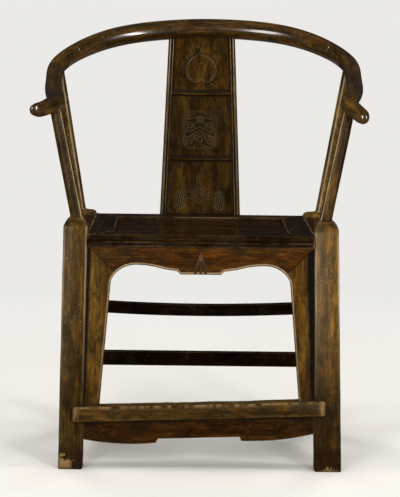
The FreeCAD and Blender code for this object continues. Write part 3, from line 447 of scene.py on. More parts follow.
FINISHES = {finish.name: finish for finish in (
    wood("left leg wood", LEG_TONES, "z", worn=(0.48, 0.37, 0.23), stains=0.3, flecks=0.7, shine=0.1, low=0.9,
         stripped=(0.036, -0.292, 0.06), seed=1.0),
    # The right leg's tones are raised as painted light, for more light falls on it than on the left leg
    wood("right leg wood", LEG_TONES, "z", 1.5, worn=(0.53, 0.42, 0.27), stains=0.3, flecks=0.7, shine=0.1,
         low=1.0, stripped=(0.009, 0.287, 0.15), seed=4.0),
    wood("rail wood", RAIL_TONES, "own", wear=0.35, edge=0.005, stains=0.4, gloss=0.18, shine=0.4, coat=1.0,
         rough_hewn=0.12, seed=2.0),
    wood("apron wood", APRON_TONES, "x", 1.1, stains=0.3, wear=0.15, edge=0.0010, shine=0.12,
         joint=(MM / 10, MM / 10), seed=3.0),
    # The bead's lighter tones and pale worn colour stand in as a painted highlight
    wood("apron bead wood", APRON_TONES, "x", 1.9, worn=(0.42, 0.31, 0.17), stains=0.2, edge=0.0015, grime_and_shade=0.2,
         gloss=0.20, coat=0.3, seed=3.5),
    wood("apron side wood", SIDE_APRON_TONES, "z", stains=0.25, wear=0.15, edge=0.0010, shine=0.12,
         joint=(0.011, 0.024), low=0.9, seed=4.0),
    wood("foot apron wood", APRON_TONES, "x", 0.75, stains=0.3, shine=0.12, seed=4.5),
    wood("seat wood across", SEAT_TONES, "x", worn=(0.20, 0.12, 0.045), wear=1.3, edge=0.0025, grime_and_shade=0.6,
         shine=0.08, coat=0.0, seed=5.0),
    wood("seat rear rail wood", SEAT_TONES, "x", 2.0, worn=(0.24, 0.16, 0.08), wear=0.9, edge=0.006, grime_and_shade=0.2,
         shine=0.13, coat=0.0, seed=5.5),
    wood("seat wood front to back", SEAT_TONES, "y", worn=(0.24, 0.16, 0.07), wear=1.5, edge=0.004, grime_and_shade=0.4,
         shine=0.10, coat=0.0, seed=6.0),
    wood("splat wood", SPLAT_TONES, "z", worn=(0.16, 0.11, 0.045), wear=0.5, edge=0.0015, stains=0.3,
         gloss=0.22, shine=0.05, flecks=0.2, seed=7.0),
    # The stiles' pale worn colour is the colour of their painted highlights
    wood("stile wood", SPLAT_TONES, "z", 1.9, worn=(0.50, 0.41, 0.28), wear=0.1, edge=0.0015, stains=0.3,
         gloss=0.20, shine=0.12, coat=0.1, rough_hewn=0.15, seed=7.5),
    wood("top panel wood", SPLAT_TONES, "z", 1.4, worn=(0.20, 0.14, 0.06), wear=0.5, edge=0.0015, stains=0.1,
         gloss=0.22, shine=0.07, flecks=0.2, seed=7.7),
    wood("splat wood across", SPLAT_TONES, "x", 1.7, wear=0.8, edge=0.0015, stains=0.4, gloss=0.26, shine=0.07,
         seed=8.0),
    wood("footrest wood", LEG_TONES, "x", 0.70, wear=1.0, edge=0.006, stains=0.7, shine=0.16, seed=9.0),
    wood("wedge wood", RAIL_TONES, "z", 0.6, wear=0.0, shine=0.12, coat=0.0, seed=9.5),
    wood("stretcher wood", STRETCHER_TONES, "x", worn=(0.14, 0.075, 0.03), wear=0.9, shine=0.05, seed=10.0),
    wood("side stretcher wood", STRETCHER_TONES, "y", worn=(0.14, 0.075, 0.03), seed=11.0),
)}


# Meshes

def loft(rings):
    """A closed skin over rings of equal count, with its two ends capped."""
    count = len(rings[0])
    last = (len(rings) - 1) * count
    faces = [tuple(range(count - 1, -1, -1))]
    for low in range(0, last, count):
        for spot in range(count):
            after = (spot + 1) % count
            faces.append((low + spot, low + after, low + count + after, low + count + spot))
    return np.concatenate(rings), faces + [tuple(range(last, last + count))]


def build(name, solids, finish, stands_for=(), grain=None, darkened=None, wear_and_highlight=None, crease=40):
    """One piece from closed skins. It rides on the chair and takes its finish."""
    verts, faces = [], []
    for points, skin in solids:
        start = sum(len(part) for part in verts)
        verts.append(np.asarray(points))
        faces += [tuple(start + spot for spot in face) for face in skin]
    mesh = bpy.data.meshes.new(name)
    mesh.from_pydata(np.concatenate(verts).tolist(), [], faces)
    work = bmesh.new()
    work.from_mesh(mesh)
    bmesh.ops.recalc_face_normals(work, faces=work.faces)
    work.to_mesh(mesh)
    work.free()
    if grain is not None:
        attribute = mesh.attributes.new("grain", "FLOAT_VECTOR", "POINT")
        attribute.data.foreach_set("vector", np.concatenate(grain).astype(np.float32).ravel())
    for label, values in (("darkened", darkened), ("wear_and_highlight", wear_and_highlight)):
        if values is not None:
            mesh.attributes.new(label, "FLOAT", "POINT").data.foreach_set("value", values)
    mesh.shade_smooth()
    mesh.set_sharp_from_angle(angle=math.radians(crease))
    mesh.materials.append(FINISHES[finish])
    piece = bpy.data.objects.new(name, mesh)
    scene.collection.objects.link(piece)
    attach(piece, "root")
    if stands_for:
        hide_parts(*stands_for)


def ripple(x, y=0, z=0):
    """A smooth unevenness between about -1 and 1, the same in every run."""
    return noise.noise(Vector((x, y, z)))


def natural_curve(marks, stops, wanted):
    """A smooth curve through the stops, read at the wanted marks."""
    marks, stops, wanted = (np.asarray(values, float) for values in (marks, stops, wanted))
    gaps = np.diff(marks)
    count = len(marks)
    system, pull = np.eye(count), np.zeros_like(stops)
    for i in range(1, count - 1):
        system[i, i - 1:i + 2] = gaps[i - 1], 2 * (gaps[i - 1] + gaps[i]), gaps[i]
        pull[i] = 6 * ((stops[i + 1] - stops[i]) / gaps[i] - (stops[i] - stops[i - 1]) / gaps[i - 1])
    bend = np.linalg.solve(system, pull)
    span = np.clip(np.searchsorted(marks, wanted, side="right") - 1, 0, count - 2)
    gap = gaps[span][:, None]
    before = (wanted - marks[span])[:, None]
    after = gap - before
    return ((bend[span] * after ** 3 + bend[span + 1] * before ** 3) / (6 * gap)
            + (stops[span] / gap - bend[span] * gap / 6) * after
            + (stops[span + 1] / gap - bend[span + 1] * gap / 6) * before)


def arc_through(first, middle, last, count):
    """Points along the circle through three points in a plane, without the last one."""
    (ax, ay), (bx, by), (cx, cy) = first, middle, last
    twice = 2 * (ax * (by - cy) + bx * (cy - ay) + cx * (ay - by))
    a2, b2, c2 = ax * ax + ay * ay, bx * bx + by * by, cx * cx + cy * cy
    ux = (a2 * (by - cy) + b2 * (cy - ay) + c2 * (ay - by)) / twice
    uy = (a2 * (cx - bx) + b2 * (ax - cx) + c2 * (bx - ax)) / twice
    radius = math.hypot(ax - ux, ay - uy)
    turns = [math.atan2(y - uy, x - ux) for x, y in (first, middle, last)]
    way = 1 if (turns[1] - turns[0]) % math.tau < (turns[2] - turns[0]) % math.tau else -1
    sweep = way * ((way * (turns[2] - turns[0])) % math.tau)
    return [(ux + radius * math.cos(turns[0] + sweep * i / count),
             uy + radius * math.sin(turns[0] + sweep * i / count)) for i in range(count)]


# Crest rail: x, y and height shares of each station, then width, height and flatness of its section

RAIL_SHARES = np.array([
    (0.0, 0.0, 0.0, 1.0, 1.0, 0.0), (0.32, 0.013, 0.027, 1.0, 1.0, 0.0), (0.61, 0.052, 0.110, 0.98, 0.98, 0.0),
    (0.80, 0.105, 0.230, 0.94, 0.94, 0.1), (0.93, 0.182, 0.365, 0.88, 0.88, 0.35),
    (0.995, 0.285, 0.495, 0.82, 0.83, 0.65), (1.0, 0.430, 0.630, 0.78, 0.80, 0.9),
    (0.990, 0.580, 0.735, 0.77, 0.79, 1.0), (0.966, 0.720, 0.810, 0.77, 0.79, 1.0),
    (0.932, 0.852, 0.870, 0.79, 0.78, 1.0), (0.950, 0.925, 0.925, 0.81, 0.74, 0.7),
    (1.007, 0.975, 0.985, 0.72, 0.70, 0.2), (1.026, 1.0, 1.003, 0.46, 0.46, 0.0)])
REAR_SCARF, GRIP_SCARF, GRIP_TIP = 3, 8, 12
RAIL_HALF, RAIL_SHIFT, RAIL_CANT, GRIP_SKEW = 0.336, 0.0035, 0.016, 0.012
RAIL_LONG, RAIL_FALL, RAIL_THICK, LAP = 0.569, 0.173, 0.046, 0.042
ROUND, RIDGE_OUT, FLAT_HIGH = math.sqrt(0.5), 0.80, 0.86
SEAM = 0.0004
CHAMFER = SEAM * 1.5
NOSE, NOSE_RINGS = 0.010, 9
RAIL_STEP, WOBBLE = 0.006, 0.012
RING = 64


def rail_stop(side, station):
    across, along, down = RAIL_SHARES[station][:3]
    grip = max(0, station - GRIP_SCARF) / (GRIP_TIP - GRIP_SCARF)
    x = side * RAIL_HALF * across + RAIL_SHIFT - GRIP_SKEW * grip
    return x, RAIL_BACK - RAIL_LONG * along, RAIL_TOP - RAIL_FALL * down + RAIL_CANT * (1 - 2 * grip) * x


STATIONS = np.arange(-GRIP_TIP, GRIP_TIP + 1)
RAIL_STOPS = np.array([rail_stop(-1 if station < 0 else 1, abs(station)) for station in STATIONS])
RAIL_MARKS = np.concatenate(([0], np.cumsum(np.linalg.norm(np.diff(RAIL_STOPS, axis=0), axis=1))))


def rail_mark(station):
    return float(np.interp(station, STATIONS, RAIL_MARKS))


def rail_axes(mark):
    """Centre, sideways and upward axis of the rail. A handgrip's sections face as its scarf does."""
    facing = min(max(mark, rail_mark(-GRIP_SCARF)), rail_mark(GRIP_SCARF))
    near, far = natural_curve(RAIL_MARKS, RAIL_STOPS, [facing - MM, facing + MM])
    along = Vector(far - near).normalized()
    aside = along.cross(Vector((0, 0, 1))).normalized()
    centre = natural_curve(RAIL_MARKS, RAIL_STOPS, [mark])[0]
    return centre, np.array(aside), np.array(aside.cross(along).normalized())


def rail_outline(station, shrink=0.0):
    """The section of the rail at a station: round, or with a flat top between two soft ridges."""
    wide, high, flat = (np.interp(abs(station), range(GRIP_TIP + 1), shares) for shares in RAIL_SHARES.T[3:])
    wide, high = wide * RAIL_THICK / 2 - shrink, high * RAIL_THICK / 2 - shrink
    edge = ROUND + (RIDGE_OUT - ROUND) * flat
    crown = 1 + (FLAT_HIGH - 1) * flat
    corner = ROUND * crown + (FLAT_HIGH - ROUND * crown) * flat * ROUND
    stops = [(edge, corner), (0, crown), (-edge, corner), (-1, 0), (-ROUND, -ROUND), (0, -1), (ROUND, -ROUND),
             (1, 0), (edge, corner)]
    points = np.array([point for i in (0, 2, 4, 6) for point in arc_through(*stops[i:i + 3], RING // 4)])
    for _ in range(3):
        points = (np.roll(points, 1, 0) + 2 * points + np.roll(points, -1, 0)) / 4
    return points * (wide, high)


def rail_ring(mark, shrink=0.0, half=0):
    """A ring of the rail and its grain: whole, or its upper (1) or lower (-1) half for a scarf's lap."""
    centre, aside, up = rail_axes(mark)
    outline = rail_outline(float(np.interp(mark, RAIL_MARKS, STATIONS)), shrink)
    if half:
        outline[:, 1] = half * np.maximum(outline[:, 1] * half, SEAM)
    wobble = np.array([ripple(mark * 9, x * 30, y * 30) for x, y in outline])
    outline = outline * (1 + WOBBLE * wobble)[:, None]
    points = centre + outline[:, :1] * aside + outline[:, 1:] * up
    return points, np.column_stack([outline, np.full(len(outline), mark)])


def rail_stick(first, last, half=0):
    """Rings and grain of the rail between two marks, with a fine chamfer at each end."""
    inner = np.linspace(first, last, max(3, round(abs(last - first) / RAIL_STEP)))[1:-1]
    marks = [first, first + CHAMFER, *inner, last - CHAMFER, last]
    return zip(*(rail_ring(mark, CHAMFER if mark in (first, last) else 0.0, half) for mark in marks))


def rail_grip(side):
    """The free end of the rail: a wrist, then a palm that swells and closes in a rounded nose."""
    start, tip = rail_mark(side * GRIP_SCARF), rail_mark(side * GRIP_TIP)
    inward = start + side * LAP
    rings, grains = map(list, zip(*map(rail_ring, np.linspace(inward, tip - side * NOSE, 40))))
    nose = natural_curve(RAIL_MARKS, RAIL_STOPS, [tip])[0]
    base = rings[-1]
    middle = base.mean(0)
    for step in range(1, NOSE_RINGS):
        turn = step / NOSE_RINGS * math.pi / 2
        rings.append(middle + (nose - middle) * math.sin(turn) + (base - middle) * math.cos(turn))
        grains.append(grains[-1] + (0, 0, side * MM))
    lower, lower_grain = rail_stick(start - side * LAP, inward, -1)
    return [loft(lower), loft(rings)], [*lower_grain, *grains]


def rail_piece(first, last):
    """A middle piece of the rail. Its upper half laps on towards the handgrips, its lower half at the back."""
    low, high = rail_mark(first), rail_mark(last)
    solids, grains = [], []
    for start, end, half in ((low + LAP, high - LAP, 0), (low - LAP, low + LAP, 1 if first < 0 else -1),
                             (high - LAP, high + LAP, 1 if last > 0 else -1)):
        rings, grain = rail_stick(start, end, half)
        solids.append(loft(rings))
        grains += grain
    return solids, grains


def make_rail():
    parts = {"back": rail_piece(-REAR_SCARF, REAR_SCARF)}
    for name, side in SIDES:
        parts[f"arm_{name}"] = rail_piece(*sorted((side * REAR_SCARF, side * GRIP_SCARF)))
        parts[f"grip_{name}"] = rail_grip(side)
    for name, (solids, grain) in parts.items():
        build(f"rail_{name}", solids, "rail wood", (f"crest_rail_{name}",), grain)


make_rail()


# Legs: a splayed block with a soft shoulder, and a post that grows out of it up to the rail

# Each as it stands now: its post's foot across, how far the post's head has moved out from the rail's middle,
# the shoulder's rise and depth, and how far the foot has spread
LEGS = {"front_left": (0.266, 0.0040, 0.017, 0.0100, 0.0),
        "front_right": (0.266, 0.0015, 0.026, 0.0145, 0.006),
        "rear_left": (0.280, -0.0025, 0.010, 0.0110, 0.0),
        "rear_right": (0.2835, -0.0020, 0.010, 0.0110, 0.0)}
FRONT_SHOULDER, REAR_SHOULDER = SEAT + 0.033, SEAT + 0.010
BLOCK_RINGS, SHOULDER_RINGS, POST_RINGS = 64, 8, 44
LEG_CORNER, POST_CORNER = 0.0055, 0.0098
POST_FOOT_HALF, POST_HEAD_HALF = 0.0134, 0.0124
CORNER_POINTS = 10
LEG_RING = 4 * CORNER_POINTS


def rounded_square(half_x, half_y, corner):
    """Outline of a square with rounded corners, from its half sizes."""
    points = []
    for turn, (across, along) in enumerate(((1, 1), (-1, 1), (-1, -1), (1, -1))):
        for step in range(CORNER_POINTS):
            angle = math.pi / 2 * (turn + (step + 0.5) / CORNER_POINTS)
            points.append((across * (half_x - corner) + corner * math.cos(angle),
                           along * (half_y - corner) + corner * math.sin(angle)))
    return np.array(points)


def level_ring(outline, x, y, height):
    return np.column_stack([outline + (x, y), np.full(len(outline), height)])


def worn(points, depth, scale, seed):
    """Move points a little, as hand planing and long use leave a surface."""
    shift = [noise.noise(Vector(point) * scale + Vector((seed, 0, 0))) for point in points]
    away = points - points.mean(0)
    away[:, 2] = 0
    length = np.linalg.norm(away, axis=1, keepdims=True)
    return points + away / np.maximum(length, MM) * (np.array(shift) * depth)[:, None]


def leg_block(side, middle_y, top, place, seed):
    """Rings of the square leg, from the floor to the top of its shoulder."""
    soft_rise, soft_in, foot_spread = LEGS[place][2:]
    half = LEG_THICK / 2
    rings = []
    for height in [0, 0.0015, *np.linspace(0.006, top - soft_rise, BLOCK_RINGS)]:
        inset = 0.0012 if height == 0 else 0
        spread = foot_spread * (1 - min(1, height / SEAT)) / 2
        outline = rounded_square(half - inset + spread, half - inset, LEG_CORNER)
        ring = level_ring(outline, side * (leg_in(height) + half + spread), middle_y, height)
        rings.append(worn(ring, 0.0006, 16, seed) if height > 0.002 else ring)
    straight = 1.6 if place == "front_left" else 1.0
    for step in range(1, SHOULDER_RINGS + 1):
        turn = math.pi / 2 * step / SHOULDER_RINGS
        inset = soft_in * (1 - math.cos(turn) ** straight)
        height = top - soft_rise + soft_rise * math.sin(turn) ** straight
        outline = rounded_square(half - inset, half - inset, LEG_CORNER + inset * 0.3)
        rings.append(level_ring(outline, side * (leg_in(height) + half), middle_y, height))
    return rings


def leg_post(side, foot, head, seed):
    """Rings of the slender post, between its foot on the shoulder and its head in the rail."""
    length = head[2] - foot[2]
    rings = []
    for rise in [0.006, 0.008, 0.012, *np.linspace(0.024, length - 0.006, POST_RINGS)]:
        share = rise / length
        wide = POST_FOOT_HALF + (POST_HEAD_HALF - POST_FOOT_HALF) * share + (0.0015 if rise < 0.007 else 0)
        ring = level_ring(rounded_square(wide, wide, POST_CORNER), *(foot + (head - foot) * share))
        rings.append(worn(ring, 0.0004, 22, seed + 5) if rise > 0.02 else ring)
    return rings


def make_leg(row, side_name, side, seed):
    """One leg. Its block is paled at the corners by wear and painted highlights, a front leg's shoulder is
    darkened as painted shade, and its post darkened but for one pale band of painted highlight.
    """
    place, front = f"{row}_{side_name}", row == "front"
    middle_y = (-1 if front else 1) * (LEG_FACE - LEG_THICK / 2)
    top = FRONT_SHOULDER if front else REAR_SHOULDER
    foot_out, head_out = LEGS[place][:2]
    block = leg_block(side, middle_y, top, place, seed)
    post = leg_post(side, np.array((side * foot_out, middle_y, top - 0.004)),
                    np.array(rail_stop(side, 9 if front else 5)) + (side * head_out, 0, 0), seed)
    block_points, post_points = np.concatenate(block), np.concatenate(post)

    # Pale corners: wear together with painted highlights, fading towards the floor and stronger on the right
    # leg
    lit = 0.35 if side > 0 else 0.15
    away, left = [0] * CORNER_POINTS, [0.2, 0.7, 1, 1, 1, 1, 1, 0.9, 0.6, lit]
    right = [0, 0.3, 0.8, 1, 1, 1, 1, 1, 0.7, 0.2]
    corners = np.tile(away + away + left + right if front else away * 4, len(block))
    patchy = [1.1 + 1.0 * ripple(x * 30, y * 30, z * 22 + seed) for x, y, z in block_points]
    lower = np.clip((block_points[:, 2] - 0.02) / 0.36, 0.25, 1)
    wear_and_highlight = corners * np.clip(patchy, 0, 1) * lower * (0.60 if side < 0 else 0.68)

    damp = [0.72 + 0.9 * ripple(x * 40, y * 40, z * 14 + seed) for x, y, z in post_points]
    darkened = np.concatenate([np.zeros(len(block_points)), np.clip(damp, 0.2, 1) * (1.0 if front else 0.35)])
    # A front shoulder's upward curve is darkened as painted shade
    if front:
        shoulder = slice(len(block_points) - SHOULDER_RINGS * LEG_RING, len(block_points))
        darkened[shoulder] = np.repeat([0.2, 0.4, 0.6, 0.7, 0.6, 0.4, 0.1, 0.0], LEG_RING)
        wear_and_highlight[shoulder] *= 0.3
    # A painted highlight runs down each post, left pale and undarkened
    highlight_stripe = [0, 0, 0, 0.1, 0.9, 1, 0.3, 0, 0, 0] if front else [0.1, 0.9, 1, 0.3, 0, 0, 0, 0, 0, 0]
    highlight_stripe = away * 3 + highlight_stripe if side < 0 else away * 2 + highlight_stripe[::-1] + away
    gleam = [0.95 + 0.9 * ripple(z * 16, seed) for z in post_points[:, 2]]
    highlight_stripes = np.tile(highlight_stripe, len(post)) * np.clip(gleam, 0, 1)
    darkened[len(block_points):] *= 1 - highlight_stripes
    build(f"carved_{row}_leg_{side_name}", [loft(block + post)], f"{side_name} leg wood",
          (f"{row}_leg_{side_name}",), darkened=darkened, wear_and_highlight=np.concatenate([wear_and_highlight, highlight_stripes]), crease=50)


for side_name, side in SIDES:
    make_leg("front", side_name, side, 3 + side)
    make_leg("rear", side_name, side, 13 + side)


# Splat: two beaded stiles and two beaded crossrails round three carved panels, all on one curve

STILE_WIDE, STILE_THICK = 0.014, 0.019
CROSSRAIL_HIGH, CROSSRAIL_THICK = 0.010, 0.017
CROSSRAIL_SAG, CROSSRAIL_HOLLOW = 0.0020, 0.0078
PANEL_THICK = 0.010
SPLAT_HALF, SPLAT_TAPER, SPLAT_BOW = 0.080, 0.017, 0.012
CROSSRAIL_TOPS = {"lower": SEAT + 0.316 * RAIL_RISE, "upper": SEAT + 0.6655 * RAIL_RISE}
SPLAT_HEAD = RAIL_TOP - 0.012


def splat_in(height):
    """Half the distance between the stiles at a height."""
    return SPLAT_HALF - SPLAT_TAPER * (height - SEAT) / RAIL_RISE


def splat_y(height):
    """The curve of the splat, seen from the side."""
    half, lean = RAIL_RISE / 2, (RAIL_BACK - SPLAT_FOOT_Y) / 2
    run = (height - SEAT - half) / half
    return (SPLAT_FOOT_Y + RAIL_BACK) / 2 + lean * run - SPLAT_BOW * (1 - run * run)


def bead(middle, half, base, rise, steps):
    """A half round bead of a profile: its place across, depth, and how far it is cut in."""
    turns = [math.pi * step / steps for step in range(steps + 1)]
    return [(middle - half * math.cos(turn), base - rise * math.sin(turn), 1 - math.sin(turn) ** 0.3)
            for turn in turns]


def stile_profile():
    """A broad bead, a groove and a fine inner bead, from the inner edge outwards."""
    points = [(0.0004, STILE_THICK, 0), (0, STILE_THICK - 0.0015, 0), (0, 0.0040, 1)]
    for middle, half, rise in ((0.0022, 0.0018, 0.0022), (0.0093, 0.0042, 0.0034)):
        points += bead(middle, half, 0.0036, rise, 8) + [(middle + half + 0.0004, 0.0046, 1)]
    points[-1] = (STILE_WIDE, 0.0040, 0)
    return points + [(STILE_WIDE, STILE_THICK - 0.0015, 0), (STILE_WIDE - 0.0015, STILE_THICK, 0)]


def make_stile(name, side):
    profile = stile_profile()
    heights = np.linspace(SEAT, SPLAT_HEAD, 60)
    rings = [np.array([(side * (splat_in(height) + across), splat_y(height) - STILE_THICK / 2 + deep, height)
                       for across, deep, _ in profile]) for height in heights]
    # Painted highlights on the bead crests near the top, and painted shade in the grooves
    crests = [float(deep < (0.0015 if across < 0.005 else 0.0004)) for across, deep, _ in profile]
    wear_and_highlight_share = np.clip((heights - (SEAT + 0.25)) / 0.14, 0.06, 1)
    darkened = [cut_in for _, _, cut_in in profile] * len(rings)
    build(f"beaded_stile_{name}", [loft(rings)], "stile wood", (f"splat_stile_{name}",),
          darkened=darkened, wear_and_highlight=np.outer(wear_and_highlight_share, crests).ravel(), crease=32)


def make_crossrail(name):
    """A fine bead runs along the middle of its face, between two hollows darkened as painted shade. The lower
    side sags.
    """
    profile = [(0, 0.0035, 1), (0, CROSSRAIL_THICK, 0), (CROSSRAIL_HIGH, CROSSRAIL_THICK, 0),
               (CROSSRAIL_HIGH, 0.0030, 1), (CROSSRAIL_HOLLOW, 0.0036, 1),
               *bead(0.0052, -0.0021, 0.0030, 0.0026, 10), (0.0024, 0.0042, 1)]
    low = CROSSRAIL_TOPS[name] - CROSSRAIL_HIGH
    rings = []
    for share in np.linspace(-1, 1, 41):
        sag = CROSSRAIL_SAG * (1 - share * share)
        ring = []
        for rise, deep, _ in profile:
            height = low + rise - (sag if 0 < rise < CROSSRAIL_HOLLOW else 0)
            ring.append((share * splat_in(height), splat_y(height) - CROSSRAIL_THICK / 2 + deep, height))
        rings.append(np.array(ring))
    build(f"beaded_crossrail_{name}", [loft(rings)], "splat wood across",
          (f"splat_crossrail_{name}",), darkened=[cut_in for _, _, cut_in in profile] * len(rings), crease=32)


# Carving: lines drawn in millimetres from the middle of a motif. Each carving gives its depth and the painted
# highlights beside its lines

BOW_STEPS, LINE_STEPS = 18, 7


def bow(centre, radius, first, last, tighten=0.0):
    """A bowed line about a centre, between two angles; it may tighten into a scroll."""
    points = []
    for share in np.linspace(0, 1, BOW_STEPS + 1):
        angle, reach = math.radians(first + (last - first) * share), radius * (1 - tighten * share)
        points.append((centre[0] + reach * math.cos(angle), centre[1] + reach * math.sin(angle)))
    return points


def drawn(*stops):
    """A smooth line through a few stops."""
    last = len(stops) - 1
    return natural_curve(range(last + 1), stops, np.linspace(0, last, LINE_STEPS * last + 1)).tolist()


def both_sides(*lines):
    return [list(line) for line in lines] + [[(-x, z) for x, z in line] for line in lines]


def distance_to(lines, x, z):
    """How far each point of a panel is from the nearest drawn line."""
    nearest = np.full(x.shape, 99.0)
    for line in lines:
        for (ax, az), (bx, bz) in zip(line, line[1:]):
            dx, dz = bx - ax, bz - az
            share = np.clip(((x - ax) * dx + (z - az) * dz) / max(dx * dx + dz * dz, 0.01), 0, 1)
            nearest = np.minimum(nearest, np.hypot(x - ax - share * dx, z - az - share * dz))
    return nearest


def inside(half_outline, x, z):
    """Which points lie within an outline, given its right half from top to bottom."""
    ring = list(half_outline) + [(-px, pz) for px, pz in reversed(half_outline)]
    within = np.zeros(x.shape, bool)
    for (ax, az), (bx, bz) in zip(ring, ring[1:] + ring[:1]):
        if az != bz:
            within ^= ((az > z) != (bz > z)) & (x < (bx - ax) * (z - az) / (bz - az) + ax)
    return within


def cut(distance, width, depth):
    """A gouge line: deepest at its middle."""
    return depth * np.exp(-(distance / width) ** 2)


def carve_peach(x, z):
    """A peach with its cleft below, drawn with a double line; its stalk and leaves are above."""
    half = drawn((0, 38), (11, 35), (23, 29), (32, 18), (38, 2), (36.5, -12), (29, -24), (16, -32), (6, -31),
                 (0, -25))
    edge = distance_to(both_sides(half), x, z)
    within = inside(half, x, z)
    outline = np.maximum(cut(edge, 1.3, 1.8), cut(edge - 5, 1.0, 0.6) * within)
    leaves = [drawn((12, 37), (24, 38), (36, 27), (42, 12)), drawn((14, 35), (25, 33), (35, 22)),
              drawn((-14, 36), (-24, 33), (-30, 27))]
    stalk = [drawn((-12, 51), (-8, 40), (-5, 18)), drawn((-6, 50), (-4, 36), (-3, 20))]
    folds = [drawn((-2, -4), (7, -3), (15, -5)), drawn((-1, -9), (7, -8), (15, -10)),
             drawn((2, -15), (8, -14), (13, -15))]
    lines = [cut(distance_to(drawing, x, z), width, deep)
             for drawing, width, deep in ((leaves, 1.0, 1.0), (stalk, 2.3, 1.5), (folds, 1.0, 0.6))]
    depth = np.maximum.reduce([outline, cut(edge, 6, 0.6) * ~within, *lines])
    return depth, cut(edge - 2.6, 1.0, 0.4) * within


def carve_medallion(x, z):
    """A panel with indented corners and a double border, filled with scrolls on a sunk ground."""
    half = drawn((0, 46), (14, 46), (26, 45)) + drawn((29, 39), (34, 36), (40.5, 31)) + \
        drawn((41, 14), (41, -10), (40.5, -28)) + drawn((38, -36), (32, -40), (29, -45)) + [(0, -46)]
    edge = distance_to(both_sides(half), x, z)
    within = inside(half, x, z)
    curls = [bow((25, 10), 11.5, -70, 470, 0.8), bow((24, -26), 10.5, 130, -400, 0.8),
             bow((0, 25), 7.5, -90, 90), bow((0, 25), 3, -90, 90)]
    stems = [drawn(*stops) for stops in (
        ((0, 8), (10, 2), (22, -3), (36, -5)), ((0, -2), (13, -9), (33, -17)), ((10, 38), (22, 33), (34, 22)),
        ((9, 31), (18, 27), (27, 25)), ((0, -14), (7, -21), (0, -29)), ((5, -34), (14, -38), (26, -40)),
        ((36, 16), (36, 6), (34, 0)), ((34, -13), (36, -22), (35, -32)), ((8, 17), (14, 14), (12, 6)),
        ((3, -10), (12, -15), (14, -24)))]
    scrolls = distance_to(both_sides(*curls, *stems), x, z)
    holes = both_sides(*([spot] * 2 for spot in ((15, 20), (9, -9), (31, -9), (17, -16), (33, 27), (8, -36))))
    floor = 1.5 * np.clip((edge - 6.5) / 1.0, 0, 1) * within
    borders = np.maximum(cut(edge - 2.8, 0.8, 1.0), cut(edge - 5.6, 0.8, 1.1)) * within
    ground = floor * (1 - 0.85 * np.exp(-(scrolls / 1.9) ** 4))
    depth = np.maximum.reduce([cut(edge, 0.9, 1.1), borders, ground, cut(distance_to(holes, x, z), 1.7, 2.4)])
    rims = np.maximum(cut(edge - 1.4, 0.8, 0.36), cut(edge - 4.2, 0.8, 0.36)) * within
    return depth, np.maximum(rims, 0.4 * np.exp(-(scrolls / 1.1) ** 4) * within * (edge > 6))


def carve_cloud(x, z):
    """A pointed cloud under a stalk, with wings of nested scrolls."""
    body = drawn((0, 20), (4, 16), (10, 9), (19, 3.5))
    under = drawn((19, 3.5), (14, -2), (17, -8), (9, -15), (3, -17), (0, -22))
    wing = drawn((19, 3.5), (27, 5), (33, 0), (33, -8), (27, -11), (17, -8))
    arcs = [bow((14, -18), reach, -30, 32) for reach in (22, 27, 32, 37, 42)]
    veins = both_sides(drawn((0, 12), (5, 5), (12, -1)), drawn((0, 4), (6, -4), (10, -10)),
                       drawn((6, 14), (11, 6), (17, 0)), drawn((5, -21), (16, -18), (26, -17)))
    rim = distance_to(both_sides(body, under, wing, *arcs) + [[(-2.4, 40), (-0.6, 20)]], x, z)
    return np.maximum(cut(rim, 1.0, 1.2), cut(distance_to(veins, x, z), 0.8, 0.7)), cut(rim - 2.2, 0.9, 0.35)


PANEL_COLUMNS, PANEL_STEP = 181, 0.0009
PANEL_RIM, LOW_CORNER, HIGH_CORNER = 2.5, 9.0, 2.5


